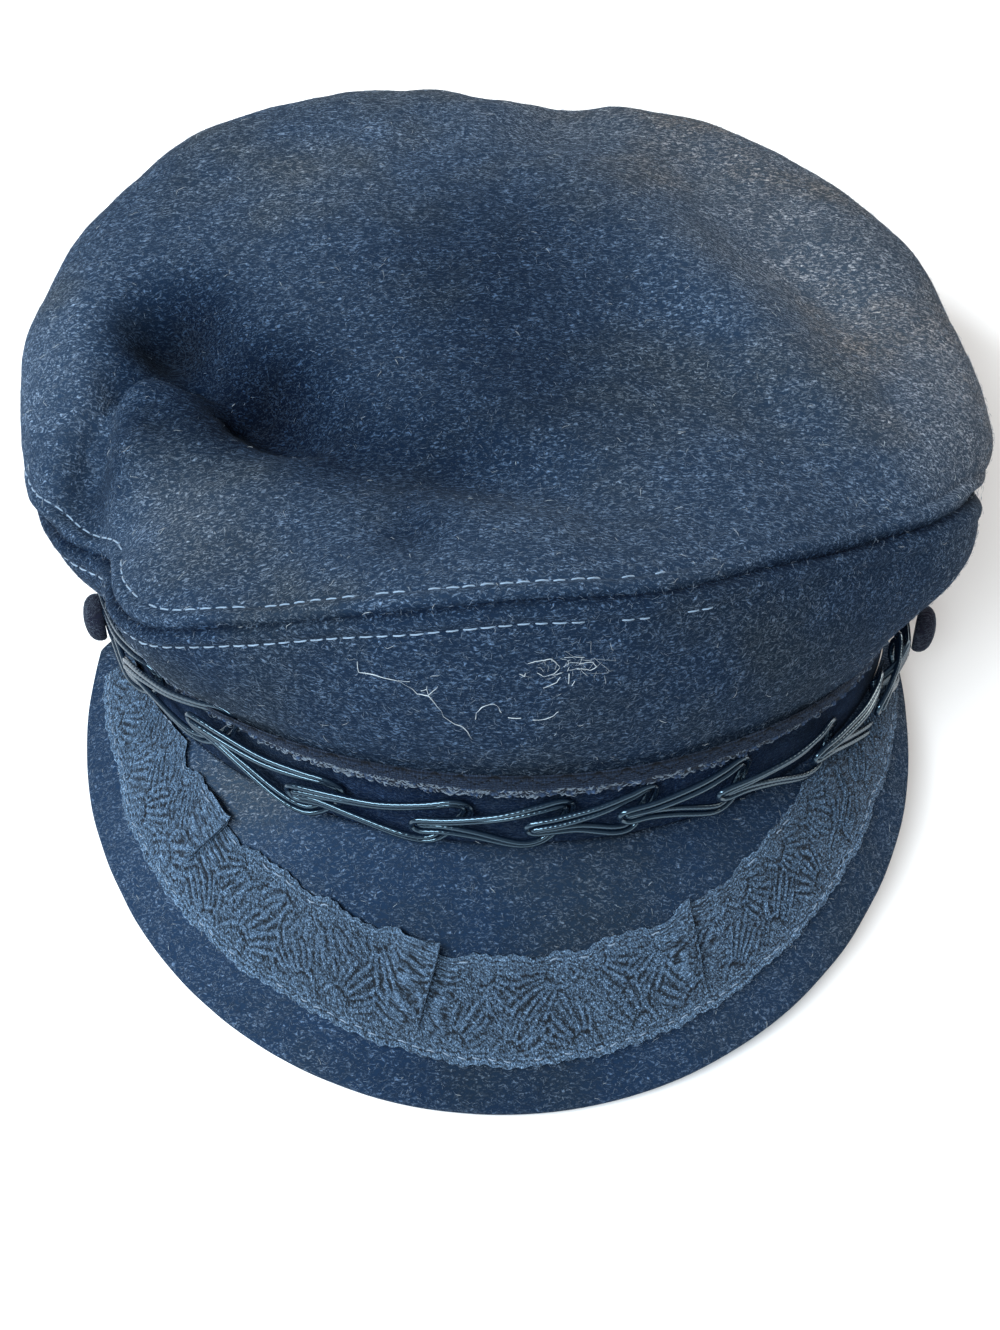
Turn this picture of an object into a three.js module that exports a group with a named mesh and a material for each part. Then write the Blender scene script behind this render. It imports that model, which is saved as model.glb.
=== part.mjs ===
// Greek fisherman cap, lying as it rests by itself on a flat surface.
//
// Millimetres, +Z up. The cap is laid out round the middle of the head opening, with the
// peak towards -Y and the wearer's left on +X. A "turn" is an angle round the cap in
// degrees: 0 at the middle of the peak, 90 on +X, 180 at the back. At the end the whole
// cap is moved so that its origin is the bottom centre of its box.

import * as THREE from 'three';

// ---- Driving dimensions ----------------------------------------------------------------
const STATIONS = 72;               // steps round the crown, the band and its trim
const CLOTH = 2.5;                 // wall of the crown's wool
const SEAM_GAP = 0.3;              // space kept between pieces that are sewn together

const BAND_HALF_WIDTH = 98;
const BAND_HALF_LENGTH = 97;
const BAND_WALL = 3;
const BAND_HEIGHT = 25;
const FRONT_LIFT = 32;             // height of the band's lower edge above the table
const REST_TURN = 138;             // from here round the back the band lies flat

const CROWN_MIDDLE = { x: 0, y: 12, height: 90 };
const CROWN_PUFF = 7;              // how far the top swells between its rim and its middle
const CROWN_RINGS = 11;            // rings of the top panel inside its rolled edge
const ROLL_FROM = 0.8;             // share of the way out where the rolled edge begins
const ROLL_RINGS = 5;
const ROLL_DEEP = 19.5;            // half height of the roll's oval
const ROLL_START = 20;             // the roll's arc, in degrees from straight up
const ROLL_END = 118;
const SIDE_RINGS = 5;

const TRIM_HEIGHT = 5;
const TRIM_THICK = 1.2;

const PEAK_THICK = 3.5;
const PEAK_HALF_WIDTH = 102.5;
const PEAK_MIDDLE = { x: -2.5, y: -46 };  // middle of the outer edge's oval
const PEAK_REACH = 103.5;          // from there to the front of the peak
const PEAK_END_SWEEP = 100;        // the outer edge runs to this angle on both sides
const PEAK_ROOT_TURN = 78;         // the peak is sewn to the band out to this turn
const PEAK_ROOT_RISE = 3;          // top of the peak above the band's lower edge
const PEAK_EDGE_RISE = 2.4;        // upper side of the peak above the table at its front
const PEAK_END_RISE = 16;          // and how far its edge climbs towards the ends
const PEAK_CROWN = 3;              // arch of the peak between band and edge
const PEAK_STATIONS = 50;
const PEAK_ROWS = 6;

const RIBBON_WIDTH = 24;
const RIBBON_THICK = 1.2;
const RIBBON_SWEEP = 92;           // the ribbon's ends, a whole number of peak stations
const RIBBON_ROWS = 3;

const BRAID_LINKS = 10;
const BRAID_TURN = 81;             // the braid runs this far to both sides of the front
const BRAID_HEIGHT = 11;
const BRAID_THICK = 7;
const BRAID_STATIONS = 80;
const BRAID_SIDES = 10;

const BUTTON_TURN = 76;
const BUTTON_RADIUS = 6;
const BUTTON_THICK = 5;
const BUTTON_GAP = 0.3;            // between the button's back and the braid

// The edge of the crown. reach is measured level from the middle of the head opening and
// height from the table, both to the widest place. Where roll is 0 the seam of the top and
// the side panel lies there; where it is 1 the top panel rolls over and the seam lies
// below. belly and sag move the side panel's middle outwards and down from the straight
// line between the band and that seam.
const RIM = [
  { turn: -160, reach: 132.5, height: 71.0, roll: 1, belly: 5, sag: 3 },
  { turn: -143, reach: 136.5, height: 71.5, roll: 1, belly: 5, sag: 3 },
  { turn: -125, reach: 131.0, height: 70.5, roll: 1, belly: 5, sag: 4 },
  { turn: -108, reach: 126.7, height: 69.0, roll: 1, belly: 5, sag: 4 },
  { turn: -94, reach: 121.5, height: 67.0, roll: 1, belly: 5, sag: 4 },
  { turn: -82, reach: 118.3, height: 66.0, roll: 0.6, belly: 4, sag: 3 },
  { turn: -72, reach: 111.5, height: 68.0, roll: 0, belly: 4, sag: 3 },
  { turn: -64, reach: 104.5, height: 73.0, roll: 0, belly: 3, sag: 2 },
  { turn: -54, reach: 111.0, height: 80.0, roll: 0, belly: 3, sag: 1 },
  { turn: -46, reach: 111.5, height: 86.0, roll: 0, belly: 4, sag: 1 },
  { turn: -35, reach: 102.5, height: 95.0, roll: 0, belly: 4, sag: 0 },
  { turn: -20, reach: 95.0, height: 105.0, roll: 0, belly: 4, sag: 0 },
  { turn: 0, reach: 90.0, height: 111.0, roll: 0, belly: 4, sag: 0 },
  { turn: 20, reach: 89.5, height: 107.5, roll: 0, belly: 4, sag: 0 },
  { turn: 40, reach: 90.0, height: 100.0, roll: 0, belly: 5, sag: 0 },
  { turn: 58, reach: 97.5, height: 89.5, roll: 0, belly: 7, sag: 2 },
  { turn: 73, reach: 110.5, height: 80.0, roll: 0, belly: 8, sag: 3 },
  { turn: 88, reach: 117.0, height: 70.5, roll: 1, belly: 5, sag: 3 },
  { turn: 105, reach: 117.8, height: 69.0, roll: 1, belly: 5, sag: 3 },
  { turn: 125, reach: 123.5, height: 69.0, roll: 1, belly: 5, sag: 3 },
  { turn: 145, reach: 126.1, height: 69.0, roll: 1, belly: 5, sag: 3 },
  { turn: 165, reach: 127.5, height: 68.5, roll: 1, belly: 5, sag: 3 },
  { turn: 180, reach: 124.4, height: 69.0, roll: 1, belly: 5, sag: 3 },
];

// Dents (rise below zero) and ridges of the soft top: where each one lies in plan, the
// direction it runs in, its half length and half width, and how far it moves the cloth.
const CROWN_FOLDS = [
  { name: 'left pit', x: -78, y: 25, heading: 155, length: 15, width: 11, rise: -14 },
  { name: 'lip below the pit', x: -83, y: 6, heading: 160, length: 15, width: 9, rise: 3 },
  { name: 'left valley', x: -60, y: 0, heading: -48, length: 24, width: 10.5, rise: -12 },
  { name: 'front valley', x: -10, y: -38, heading: -22, length: 46, width: 12, rise: -8 },
  { name: 'left ridge', x: -89, y: -34, heading: 90, length: 34, width: 8, rise: 6 },
  { name: 'left crease', x: -102, y: -22, heading: 105, length: 24, width: 8, rise: -10 },
  { name: 'right ridge', x: 62, y: 38, heading: -52, length: 62, width: 12, rise: 5 },
  { name: 'right hollow', x: 74, y: 56, heading: -50, length: 28, width: 11, rise: -6 },
  { name: 'back dip', x: 14, y: 106, heading: 80, length: 22, width: 12, rise: -6 },
];

// Folded tucks that take in the ribbon: sweep round the peak, how far the fold slants over
// the ribbon's width, and how high its folded cloth stands.
const TUCKS = [
  { sweep: -50, slant: -4, rise: 2.2 },
  { sweep: -9.5, slant: 0, rise: 2.8 },
  { sweep: 30, slant: 3, rise: 2.6 },
  { sweep: 65, slant: -1.5, rise: 1.8 },
];
const TUCK_WIDTH = 5;              // degrees of sweep

// Wool left bare outside the ribbon, by sweep round the peak.
const RIBBON_EDGE = [
  { sweep: -92, bare: 7 },
  { sweep: -76, bare: 12 },
  { sweep: -28, bare: 13 },
  { sweep: 0, bare: 10.2 },
  { sweep: 28, bare: 11.5 },
  { sweep: 68, bare: 13.5 },
  { sweep: 92, bare: 7.5 },
];

// Middle of the braid above the band's lower edge, by turn.
const BRAID_RISE = [
  { turn: -90, rise: 12.5 },
  { turn: -62, rise: 13 },
  { turn: -45, rise: 16 },
  { turn: -29, rise: 11 },
  { turn: -4, rise: 10.5 },
  { turn: 14, rise: 12 },
  { turn: 44, rise: 10.5 },
  { turn: 60, rise: 11 },
  { turn: 90, rise: 12.5 },
];

// ---- Geometry helpers ------------------------------------------------------------------
const radians = (degrees) => (degrees * Math.PI) / 180;
const vector = (x, y, z) => new THREE.Vector3(x, y, z);

// Smooth value of one column of a table whose rows go once round the cap.
function around(rows, column, turn) {
  const first = rows[0].turn;
  const t = ((turn - first) % 360 + 360) % 360 + first;
  const row = (i) => {
    const lap = Math.floor(i / rows.length);
    const r = rows[i - lap * rows.length];
    return { turn: r.turn + 360 * lap, value: r[column] };
  };
  let i = 0;
  while (row(i + 1).turn <= t) i += 1;
  const [a, b, c, d] = [row(i - 1), row(i), row(i + 1), row(i + 2)];
  const span = c.turn - b.turn;
  const u = (t - b.turn) / span;
  const startSlope = ((c.value - a.value) / (c.turn - a.turn)) * span;
  const endSlope = ((d.value - b.value) / (d.turn - b.turn)) * span;
  return b.value * (1 + 2 * u) * (1 - u) ** 2 + startSlope * u * (1 - u) ** 2
    + c.value * u * u * (3 - 2 * u) + endSlope * u * u * (u - 1);
}

// Value of a short table at one place, straight between its rows.
function between(rows, place, column, at) {
  let i = 1;
  while (i < rows.length - 1 && rows[i][place] < at) i += 1;
  const share = (at - rows[i - 1][place]) / (rows[i][place] - rows[i - 1][place]);
  return rows[i - 1][column] + (rows[i][column] - rows[i - 1][column]) * share;
}

// A closed body from rings of points. Rings are joined one to the next, and each ring is
// closed on itself. ends says how the first and last rings are finished: 'loop' joins them
// to each other, 'point' closes each on its mean point, 'flat' stitches each one shut.
function bodyFromRings(rings, ends) {
  const points = rings.flat();
  const around = rings[0].length;
  const faces = [];
  const at = (ring, i) => ring * around + (i % around);
  const last = ends === 'loop' ? rings.length : rings.length - 1;
  for (let ring = 0; ring < last; ring += 1) {
    const next = (ring + 1) % rings.length;
    for (let i = 0; i < around; i += 1) {
      faces.push([at(ring, i), at(ring, i + 1), at(next, i + 1)]);
      faces.push([at(ring, i), at(next, i + 1), at(next, i)]);
    }
  }
  const finish = (ring, flip) => {
    const add = (a, b, c) => faces.push(flip ? [a, c, b] : [a, b, c]);
    if (ends === 'point') {
      const middle = vector(0, 0, 0);
      rings[ring].forEach((p) => middle.addScaledVector(p, 1 / around));
      points.push(middle);
      for (let i = 0; i < around; i += 1) add(points.length - 1, at(ring, i + 1), at(ring, i));
    } else {
      for (let i = 0; i < around / 2 - 1; i += 1) {
        const j = around - 1 - i;
        add(at(ring, i), at(ring, j), at(ring, i + 1));
        if (j - 1 > i + 1) add(at(ring, i + 1), at(ring, j), at(ring, j - 1));
      }
    }
  };
  if (ends !== 'loop') {
    finish(0, false);
    finish(rings.length - 1, true);
  }
  return closedGeometry(points, faces);
}

// Geometry of a closed body, turned so that its faces point outwards.
function closedGeometry(points, faces) {
  const volume = faces.reduce((sum, [a, b, c]) => (
    sum + points[a].dot(points[b].clone().cross(points[c]))
  ), 0);
  const order = volume > 0 ? faces : faces.map(([a, b, c]) => [a, c, b]);
  const geometry = new THREE.BufferGeometry();
  geometry.setAttribute(
    'position',
    new THREE.Float32BufferAttribute(points.flatMap((p) => [p.x, p.y, p.z]), 3),
  );
  geometry.setIndex(order.flat());
  geometry.computeVertexNormals();
  return geometry;
}

function cloth(color, roughness) {
  return new THREE.MeshStandardMaterial({ color, roughness, metalness: 0 });
}

const cap = new THREE.Group();
function addPiece(name, geometry, material) {
  const mesh = new THREE.Mesh(geometry, material);
  mesh.name = name;
  cap.add(mesh);
}

const turns = Array.from({ length: STATIONS }, (_, i) => (360 * i) / STATIONS - 180);

// ---- Band: the wool hoop that sits on the head -------------------------------------------
// Level direction out of the band, and a point on its outer face. up runs from 0 at the
// lower edge to 1 at the upper edge.
function outOfBand(turn) {
  const a = radians(turn);
  return vector(Math.sin(a) / BAND_HALF_WIDTH, -Math.cos(a) / BAND_HALF_LENGTH, 0).normalize();
}

function bandFoot(turn) {
  const level = Math.cos(radians(REST_TURN));
  const climb = Math.max(0, (Math.cos(radians(turn)) - level) / (1 - level));
  return FRONT_LIFT * climb ** 1.15;
}

function bandFace(turn, up) {
  const a = radians(turn);
  return vector(
    BAND_HALF_WIDTH * Math.sin(a),
    -BAND_HALF_LENGTH * Math.cos(a),
    bandFoot(turn) + BAND_HEIGHT * up,
  );
}

addPiece('band', bodyFromRings(turns.map((turn) => {
  const inward = outOfBand(turn).multiplyScalar(-BAND_WALL);
  const outer = [0, 0.5, 1].map((up) => bandFace(turn, up));
  return [...outer, outer[2].clone().add(inward), outer[0].clone().add(inward)];
}), 'loop'), cloth(0x1f2c40, 0.95));

// ---- Band trim: narrow ribbed braid round the top of the band ------------------------------
addPiece('band_trim', bodyFromRings(turns.map((turn) => {
  const out = outOfBand(turn);
  const lower = bandFace(turn, 1 - TRIM_HEIGHT / BAND_HEIGHT).addScaledVector(out, SEAM_GAP);
  const upper = bandFace(turn, 1).addScaledVector(out, SEAM_GAP);
  upper.z -= SEAM_GAP;
  return [
    lower, upper,
    upper.clone().addScaledVector(out, TRIM_THICK), lower.clone().addScaledVector(out, TRIM_THICK),
  ];
}), 'loop'), cloth(0x2a3547, 0.8));

// ---- Crown: top panel and side panel, sewn together along the rim --------------------------
// Top panel, from its middle (out = 0) to the rim (out = 1). far is the share of the level
// way from the middle to the widest place.
function topPanel(turn, out) {
  const reach = around(RIM, 'reach', turn);
  const height = around(RIM, 'height', turn);
  const roll = Math.min(1, Math.max(0, around(RIM, 'roll', turn)));
  const middle = CROWN_MIDDLE.height + CROWN_PUFF;
  const flatHeight = CROWN_MIDDLE.height + (height - CROWN_MIDDLE.height) * out ** 2.4
    + CROWN_PUFF * (1 - out ** 8);
  let rolledFar = out;
  const start = radians(ROLL_START);
  const shoulder = height + ROLL_DEEP * Math.cos(start);
  let rolledHeight = middle - (middle - shoulder) * (out / ROLL_FROM) ** 2;
  if (out > ROLL_FROM) {
    const arc = start + radians(ROLL_END - ROLL_START) * ((out - ROLL_FROM) / (1 - ROLL_FROM));
    rolledFar = 1 - ((1 - ROLL_FROM) / (1 - Math.sin(start))) * (1 - Math.sin(arc));
    rolledHeight = height + ROLL_DEEP * Math.cos(arc);
  }
  const far = out + (rolledFar - out) * roll;
  const a = radians(turn);
  const x = CROWN_MIDDLE.x + far * (reach * Math.sin(a) - CROWN_MIDDLE.x);
  const y = CROWN_MIDDLE.y + far * (-reach * Math.cos(a) - CROWN_MIDDLE.y);
  let z = flatHeight + (rolledHeight - flatHeight) * roll;
  const hold = 1 - out ** 6;
  CROWN_FOLDS.forEach((fold) => {
    const h = radians(fold.heading);
    const along = ((x - fold.x) * Math.cos(h) + (y - fold.y) * Math.sin(h)) / fold.length;
    const across = (-(x - fold.x) * Math.sin(h) + (y - fold.y) * Math.cos(h)) / fold.width;
    z += hold * fold.rise * Math.exp(-along * along - across * across);
  });
  return vector(x, y, z);
}

// Side panel, from the band (up = 0) to the rim (up = 1).
function sidePanel(turn, up) {
  const foot = bandFace(turn, 1);
  foot.z += SEAM_GAP;
  const swell = 4 * up * (1 - up);
  return foot.lerp(topPanel(turn, 1), up)
    .addScaledVector(outOfBand(turn), swell * around(RIM, 'belly', turn))
    .add(vector(0, 0, -swell * around(RIM, 'sag', turn)));
}

// Unit normal of a surface given as f(turn, step), by differences. It points down or
// outwards where step runs out or up.
function normalOf(surface, turn, step) {
  const low = Math.max(0, step - 0.02);
  const high = Math.min(1, step + 0.02);
  const alongTurn = surface(turn + 1, step).sub(surface(turn - 1, step));
  const alongStep = surface(turn, high).sub(surface(turn, low));
  return alongTurn.cross(alongStep).normalize();
}

// At the rim both panels end on one slanting face, with the seam's gap between them.
function rimSeam(turn) {
  const rim = topPanel(turn, 1);
  const top = normalOf(topPanel, turn, 1).negate();
  const side = normalOf(sidePanel, turn, 1);
  const mitre = top.clone().add(side).normalize();
  const depth = CLOTH / Math.max(0.5, mitre.dot(top));
  const along = topPanel(turn + 1, 1).sub(topPanel(turn - 1, 1)).normalize();
  const apart = along.clone().cross(mitre).normalize().multiplyScalar(SEAM_GAP / 2);
  if (apart.dot(topPanel(turn, 0.98).sub(rim)) < 0) apart.negate();
  return { outer: rim, inner: rim.clone().addScaledVector(mitre, -depth), apart };
}

const seams = turns.map(rimSeam);

addPiece('crown_side', bodyFromRings(turns.map((turn, i) => {
  const outer = [];
  const inner = [];
  for (let ring = 0; ring < SIDE_RINGS; ring += 1) {
    const up = ring / SIDE_RINGS;
    const point = sidePanel(turn, up);
    const normal = normalOf(sidePanel, turn, up);
    if (ring === 0) normal.setZ(0).normalize();
    outer.push(point);
    inner.push(point.clone().addScaledVector(normal, -CLOTH));
  }
  outer.push(seams[i].outer.clone().sub(seams[i].apart));
  inner.push(seams[i].inner.clone().sub(seams[i].apart));
  return [...outer, ...inner.reverse()];
}), 'loop'), cloth(0x34496a, 0.95));

const topOuter = [];
const topInner = [];
for (let ring = 1; ring < CROWN_RINGS + ROLL_RINGS; ring += 1) {
  const out = ring <= CROWN_RINGS
    ? ROLL_FROM * (ring / CROWN_RINGS) ** 0.8
    : ROLL_FROM + ((1 - ROLL_FROM) * (ring - CROWN_RINGS)) / ROLL_RINGS;
  topOuter.push(turns.map((turn) => topPanel(turn, out)));
  topInner.push(turns.map((turn) => (
    topPanel(turn, out).addScaledVector(normalOf(topPanel, turn, out), CLOTH)
  )));
}
topOuter.push(seams.map((seam) => seam.outer.clone().add(seam.apart)));
topInner.push(seams.map((seam) => seam.inner.clone().add(seam.apart)));
addPiece('crown_top', bodyFromRings([...topOuter, ...topInner.reverse()], 'point'),
  cloth(0x34496a, 0.95));

// ---- Peak: wool covered board --------------------------------------------------------------
// sweep runs along the peak's outer edge; out is 0 at the band and 1 at that edge.
function peakRoot(sweep) {
  const turn = (sweep * PEAK_ROOT_TURN) / PEAK_END_SWEEP;
  const root = bandFace(turn, 0).addScaledVector(outOfBand(turn), SEAM_GAP);
  root.z += PEAK_ROOT_RISE;
  return root;
}

function peakEdge(sweep) {
  const a = radians(sweep);
  const climb = (1 - Math.cos(a)) / (1 - Math.cos(radians(PEAK_END_SWEEP)));
  return vector(
    PEAK_MIDDLE.x + PEAK_HALF_WIDTH * Math.sin(a),
    PEAK_MIDDLE.y - PEAK_REACH * Math.cos(a),
    PEAK_EDGE_RISE + PEAK_END_RISE * climb,
  );
}

function peakTop(sweep, out) {
  const root = peakRoot(sweep);
  const edge = peakEdge(sweep);
  const span = Math.hypot(edge.x - root.x, edge.y - root.y);
  const arch = PEAK_CROWN * Math.min(1, span / 40) * 4 * out * (1 - out);
  return root.lerp(edge, out).add(vector(0, 0, arch));
}

function peakNormal(sweep, out) {
  const normal = normalOf(peakTop, sweep, out);
  return normal.z < 0 ? normal.negate() : normal;
}

const peakSections = [];
for (let i = 0; i <= PEAK_STATIONS; i += 1) {
  const sweep = PEAK_END_SWEEP * ((2 * i) / PEAK_STATIONS - 1);
  const top = [];
  const under = [];
  for (let row = 0; row <= PEAK_ROWS; row += 1) {
    const out = row / PEAK_ROWS;
    const point = peakTop(sweep, out);
    const below = point.clone().addScaledVector(peakNormal(sweep, out), -PEAK_THICK);
    if (row === 0) below.set(point.x, point.y, point.z - PEAK_THICK * 1.1);
    below.z = Math.max(0, below.z);
    top.push(point);
    under.push(below);
  }
  peakSections.push([...top, ...under.reverse()]);
}
addPiece('peak', bodyFromRings(peakSections, 'flat'), cloth(0x30425f, 0.95));

// ---- Peak ribbon: woven ribbon laid round the peak, with four folded tucks -----------------
const ribbonSections = [];
const stationStep = (2 * PEAK_END_SWEEP) / PEAK_STATIONS;
for (let sweep = -RIBBON_SWEEP; sweep <= RIBBON_SWEEP; sweep += stationStep) {
  const span = peakRoot(sweep).distanceTo(peakEdge(sweep));
  const outer = 1 - between(RIBBON_EDGE, 'sweep', 'bare', sweep) / span;
  const inner = Math.max(0.06, outer - RIBBON_WIDTH / span);
  const under = [];
  const top = [];
  for (let row = 0; row <= RIBBON_ROWS; row += 1) {
    const over = row / RIBBON_ROWS;
    const out = inner + (outer - inner) * over;
    const tuck = TUCKS.reduce((sum, fold) => {
      const off = (sweep - fold.sweep - fold.slant * (over - 0.5)) / TUCK_WIDTH;
      return sum + fold.rise * Math.exp(-off * off);
    }, 0);
    const normal = peakNormal(sweep, out);
    const point = peakTop(sweep, out);
    under.push(point.clone().addScaledVector(normal, SEAM_GAP));
    top.push(point.clone().addScaledVector(normal, SEAM_GAP + RIBBON_THICK + tuck));
  }
  ribbonSections.push([...under, ...top.reverse()]);
}
addPiece('peak_ribbon', bodyFromRings(ribbonSections, 'flat'), cloth(0x47566f, 0.8));

// ---- Soutache braid: a chain of cord loops lying on the root of the peak --------------------
// Where one turn falls in the chain of loops, and half the braid's thickness there.
const braidLink = (turn) => radians(180 * BRAID_LINKS * (turn / BRAID_TURN + 1));
const braidDeep = (turn) => (
  (BRAID_THICK / 2) * (0.85 + 0.15 * Math.cos(braidLink(turn) + 1))
);
const braidSections = [];
for (let i = 0; i <= BRAID_STATIONS; i += 1) {
  const turn = BRAID_TURN * ((2 * i) / BRAID_STATIONS - 1);
  const link = braidLink(turn);
  const out = outOfBand(turn);
  const tall = (BRAID_HEIGHT / 2) * (0.82 + 0.18 * Math.cos(link));
  const rise = between(BRAID_RISE, 'turn', 'rise', turn);
  const middle = bandFace(turn, rise / BAND_HEIGHT)
    .addScaledVector(out, SEAM_GAP + BRAID_THICK / 2);
  middle.z += Math.sin(link);
  const section = [];
  for (let side = 0; side < BRAID_SIDES; side += 1) {
    const a = radians((360 * (side + 0.5)) / BRAID_SIDES);
    section.push(middle.clone()
      .addScaledVector(out, braidDeep(turn) * Math.cos(a))
      .add(vector(0, 0, tall * Math.sin(a))));
  }
  braidSections.push(section);
}
addPiece('soutache_braid', bodyFromRings(braidSections, 'flat'), cloth(0x1a2430, 0.5));

// ---- Side buttons: small covered domes that hold the ends of the braid ----------------------
function addButton(name, turn) {
  const profile = [
    new THREE.Vector2(0, 0),
    new THREE.Vector2(BUTTON_RADIUS * 0.9, 0),
    new THREE.Vector2(BUTTON_RADIUS, BUTTON_THICK * 0.3),
    new THREE.Vector2(BUTTON_RADIUS * 0.85, BUTTON_THICK * 0.7),
    new THREE.Vector2(BUTTON_RADIUS * 0.5, BUTTON_THICK * 0.95),
    new THREE.Vector2(0, BUTTON_THICK),
  ];
  const out = outOfBand(turn);
  const rise = between(BRAID_RISE, 'turn', 'rise', turn);
  const seat = bandFace(turn, rise / BAND_HEIGHT)
    .addScaledVector(out, SEAM_GAP + BRAID_THICK / 2 + braidDeep(turn) + BUTTON_GAP);
  const mesh = new THREE.Mesh(new THREE.LatheGeometry(profile, 16), cloth(0x1a1d2a, 0.6));
  mesh.name = name;
  mesh.position.copy(seat);
  mesh.quaternion.setFromUnitVectors(vector(0, 1, 0), out);
  cap.add(mesh);
}
addButton('side_button_left', -BUTTON_TURN);
addButton('side_button_right', BUTTON_TURN);

// ---- Origin: bottom centre of the cap's box --------------------------------------------------
const box = new THREE.Box3().setFromObject(cap, true);
cap.position.set(-(box.min.x + box.max.x) / 2, -(box.min.y + box.max.y) / 2, -box.min.z);

export default cap;
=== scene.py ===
import math

import bpy
import numpy as np
from mathutils import Matrix, Vector


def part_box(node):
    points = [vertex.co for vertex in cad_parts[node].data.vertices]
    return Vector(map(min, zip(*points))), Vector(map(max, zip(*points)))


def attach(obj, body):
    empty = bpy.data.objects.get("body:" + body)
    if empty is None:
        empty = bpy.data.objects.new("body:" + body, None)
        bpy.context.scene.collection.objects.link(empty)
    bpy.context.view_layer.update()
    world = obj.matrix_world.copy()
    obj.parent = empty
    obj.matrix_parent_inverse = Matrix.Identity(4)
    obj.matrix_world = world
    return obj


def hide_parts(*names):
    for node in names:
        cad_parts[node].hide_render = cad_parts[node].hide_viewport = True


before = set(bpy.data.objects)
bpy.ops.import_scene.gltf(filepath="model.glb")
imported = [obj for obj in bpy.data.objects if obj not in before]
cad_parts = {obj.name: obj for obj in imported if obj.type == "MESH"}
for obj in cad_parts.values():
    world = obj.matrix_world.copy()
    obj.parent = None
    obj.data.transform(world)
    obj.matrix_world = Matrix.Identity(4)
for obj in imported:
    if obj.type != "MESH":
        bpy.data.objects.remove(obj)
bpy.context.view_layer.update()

# ---- Where the cap stands ----------------------------------------------------------------
# Sizes below are in millimetres, measured from the middle of the head opening on the table.
# A turn is an angle round the cap: 0 at the middle of the peak, 90 on the wearer's left.
band_low, band_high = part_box("band")
OPENING = np.array([(band_low.x + band_high.x) / 2, (band_low.y + band_high.y) / 2, 0.0])
MM = 0.001


def in_metres(points):
    return np.asarray(points, float) * MM + OPENING


# ---- Table, light and camera -------------------------------------------------------------
# The cap lies on a white table under broad, soft studio light: a long cool panel in front
# of it on the left and a weak warm one behind it on the right.
def new_material(name):
    """A new material, with its node tree and the shader at the end of the tree."""
    material = bpy.data.materials.new(name)
    material.use_nodes = True
    return material, material.node_tree, material.node_tree.nodes["Principled BSDF"]


def fill_sockets(tree, node, sockets):
    """Sets a node's inputs, each to a plain value or by a link from another node's output."""
    for socket, value in sockets.items():
        if isinstance(value, bpy.types.NodeSocket):
            tree.links.new(value, node.inputs[socket])
        else:
            node.inputs[socket].default_value = value


def add_to_scene(name, content):
    thing = bpy.data.objects.new(name, content)
    bpy.context.scene.collection.objects.link(thing)
    return thing


def add_table():
    half = 20.0
    corners = [(-half, -half, 0), (half, -half, 0), (half, half, 0), (-half, half, 0)]
    top = bpy.data.meshes.new("table_top")
    top.from_pydata(corners, [], [(0, 1, 2, 3)])
    paint, tree, shader = new_material("table_paint")
    fill_sockets(tree, shader, {
        "Base Color": (0.9, 0.9, 0.9, 1),
        "Roughness": 0.9,
        "Specular IOR Level": 0.1,
    })
    top.materials.append(paint)
    add_to_scene("table_top", top)


def add_panel(name, place, size, watts, color):
    lamp = bpy.data.lights.new(name, "AREA")
    lamp.shape = "RECTANGLE"
    lamp.size, lamp.size_y = size
    lamp.energy = watts
    lamp.color = color
    panel = add_to_scene(name, lamp)
    panel.location = place
    cap = Vector((0, 0, 0.05))
    panel.rotation_euler = (cap - Vector(place)).to_track_quat("-Z", "Y").to_euler()


def add_camera():
    azimuth, elevation, roll = math.radians(-1.25), math.radians(50.24), math.radians(1.52)
    distance = 0.55722
    target = Vector(in_metres([-2.72, -57.69, 51.26]))
    back = Vector((
        math.sin(azimuth) * math.cos(elevation),
        -math.cos(azimuth) * math.cos(elevation),
        math.sin(elevation),
    ))
    camera = bpy.data.cameras.new("camera")
    camera.lens = 64.44
    camera.sensor_width = 36
    camera.clip_start = 0.01
    eye = add_to_scene("camera", camera)
    turned = back.to_track_quat("Z", "Y").to_matrix() @ Matrix.Rotation(roll, 3, "Z")
    eye.matrix_world = Matrix.Translation(target + back * distance) @ turned.to_4x4()
    bpy.context.scene.camera = eye


add_table()
add_panel("sky_panel", (-0.95, -0.85, 1.5), (2.4, 0.5), 96, (0.88, 0.95, 1.0))
add_panel("warm_panel", (1.2, 1.2, 0.7), (0.9, 0.9), 22, (1.0, 0.88, 0.78))
add_camera()
world = bpy.data.worlds.new("studio")
world.use_nodes = True
fill_sockets(world.node_tree, world.node_tree.nodes["Background"], {
    "Color": (0.95, 0.98, 1.0, 1),
    "Strength": 0.38,
})
bpy.context.scene.world = world
bpy.context.scene.view_settings.view_transform = "Standard"


# ---- Wool of the cap ---------------------------------------------------------------------
# Brushed melton: matted fibres of several navy shades under a nap of paler hairs. The
# pattern is solid, so it runs on over seams, and needs no flat layout of the cloth.
FIBRE_SIZE = 0.68
WOOL_RELIEF = 0.0007
# Painted light turns the wool greyer as well as paler, and painted shade in a fold keeps it bluer.
LIGHT_AND_SHADE_POWERS = {"Red": 1.45, "Green": 1.18, "Blue": 0.95}
BROWN_PATCH = (1.22, 1.0, 0.81, 1)
WARM_LIGHT_TINT = (1.55, 1.22, 0.98, 1)


def add_node(tree, kind, sockets, **settings):
    node = tree.nodes.new("ShaderNode" + kind)
    for setting, value in settings.items():
        setattr(node, setting, value)
    fill_sockets(tree, node, sockets)
    return node


def vector_math(tree, operation, sockets):
    return add_node(tree, "VectorMath", sockets, operation=operation).outputs


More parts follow.
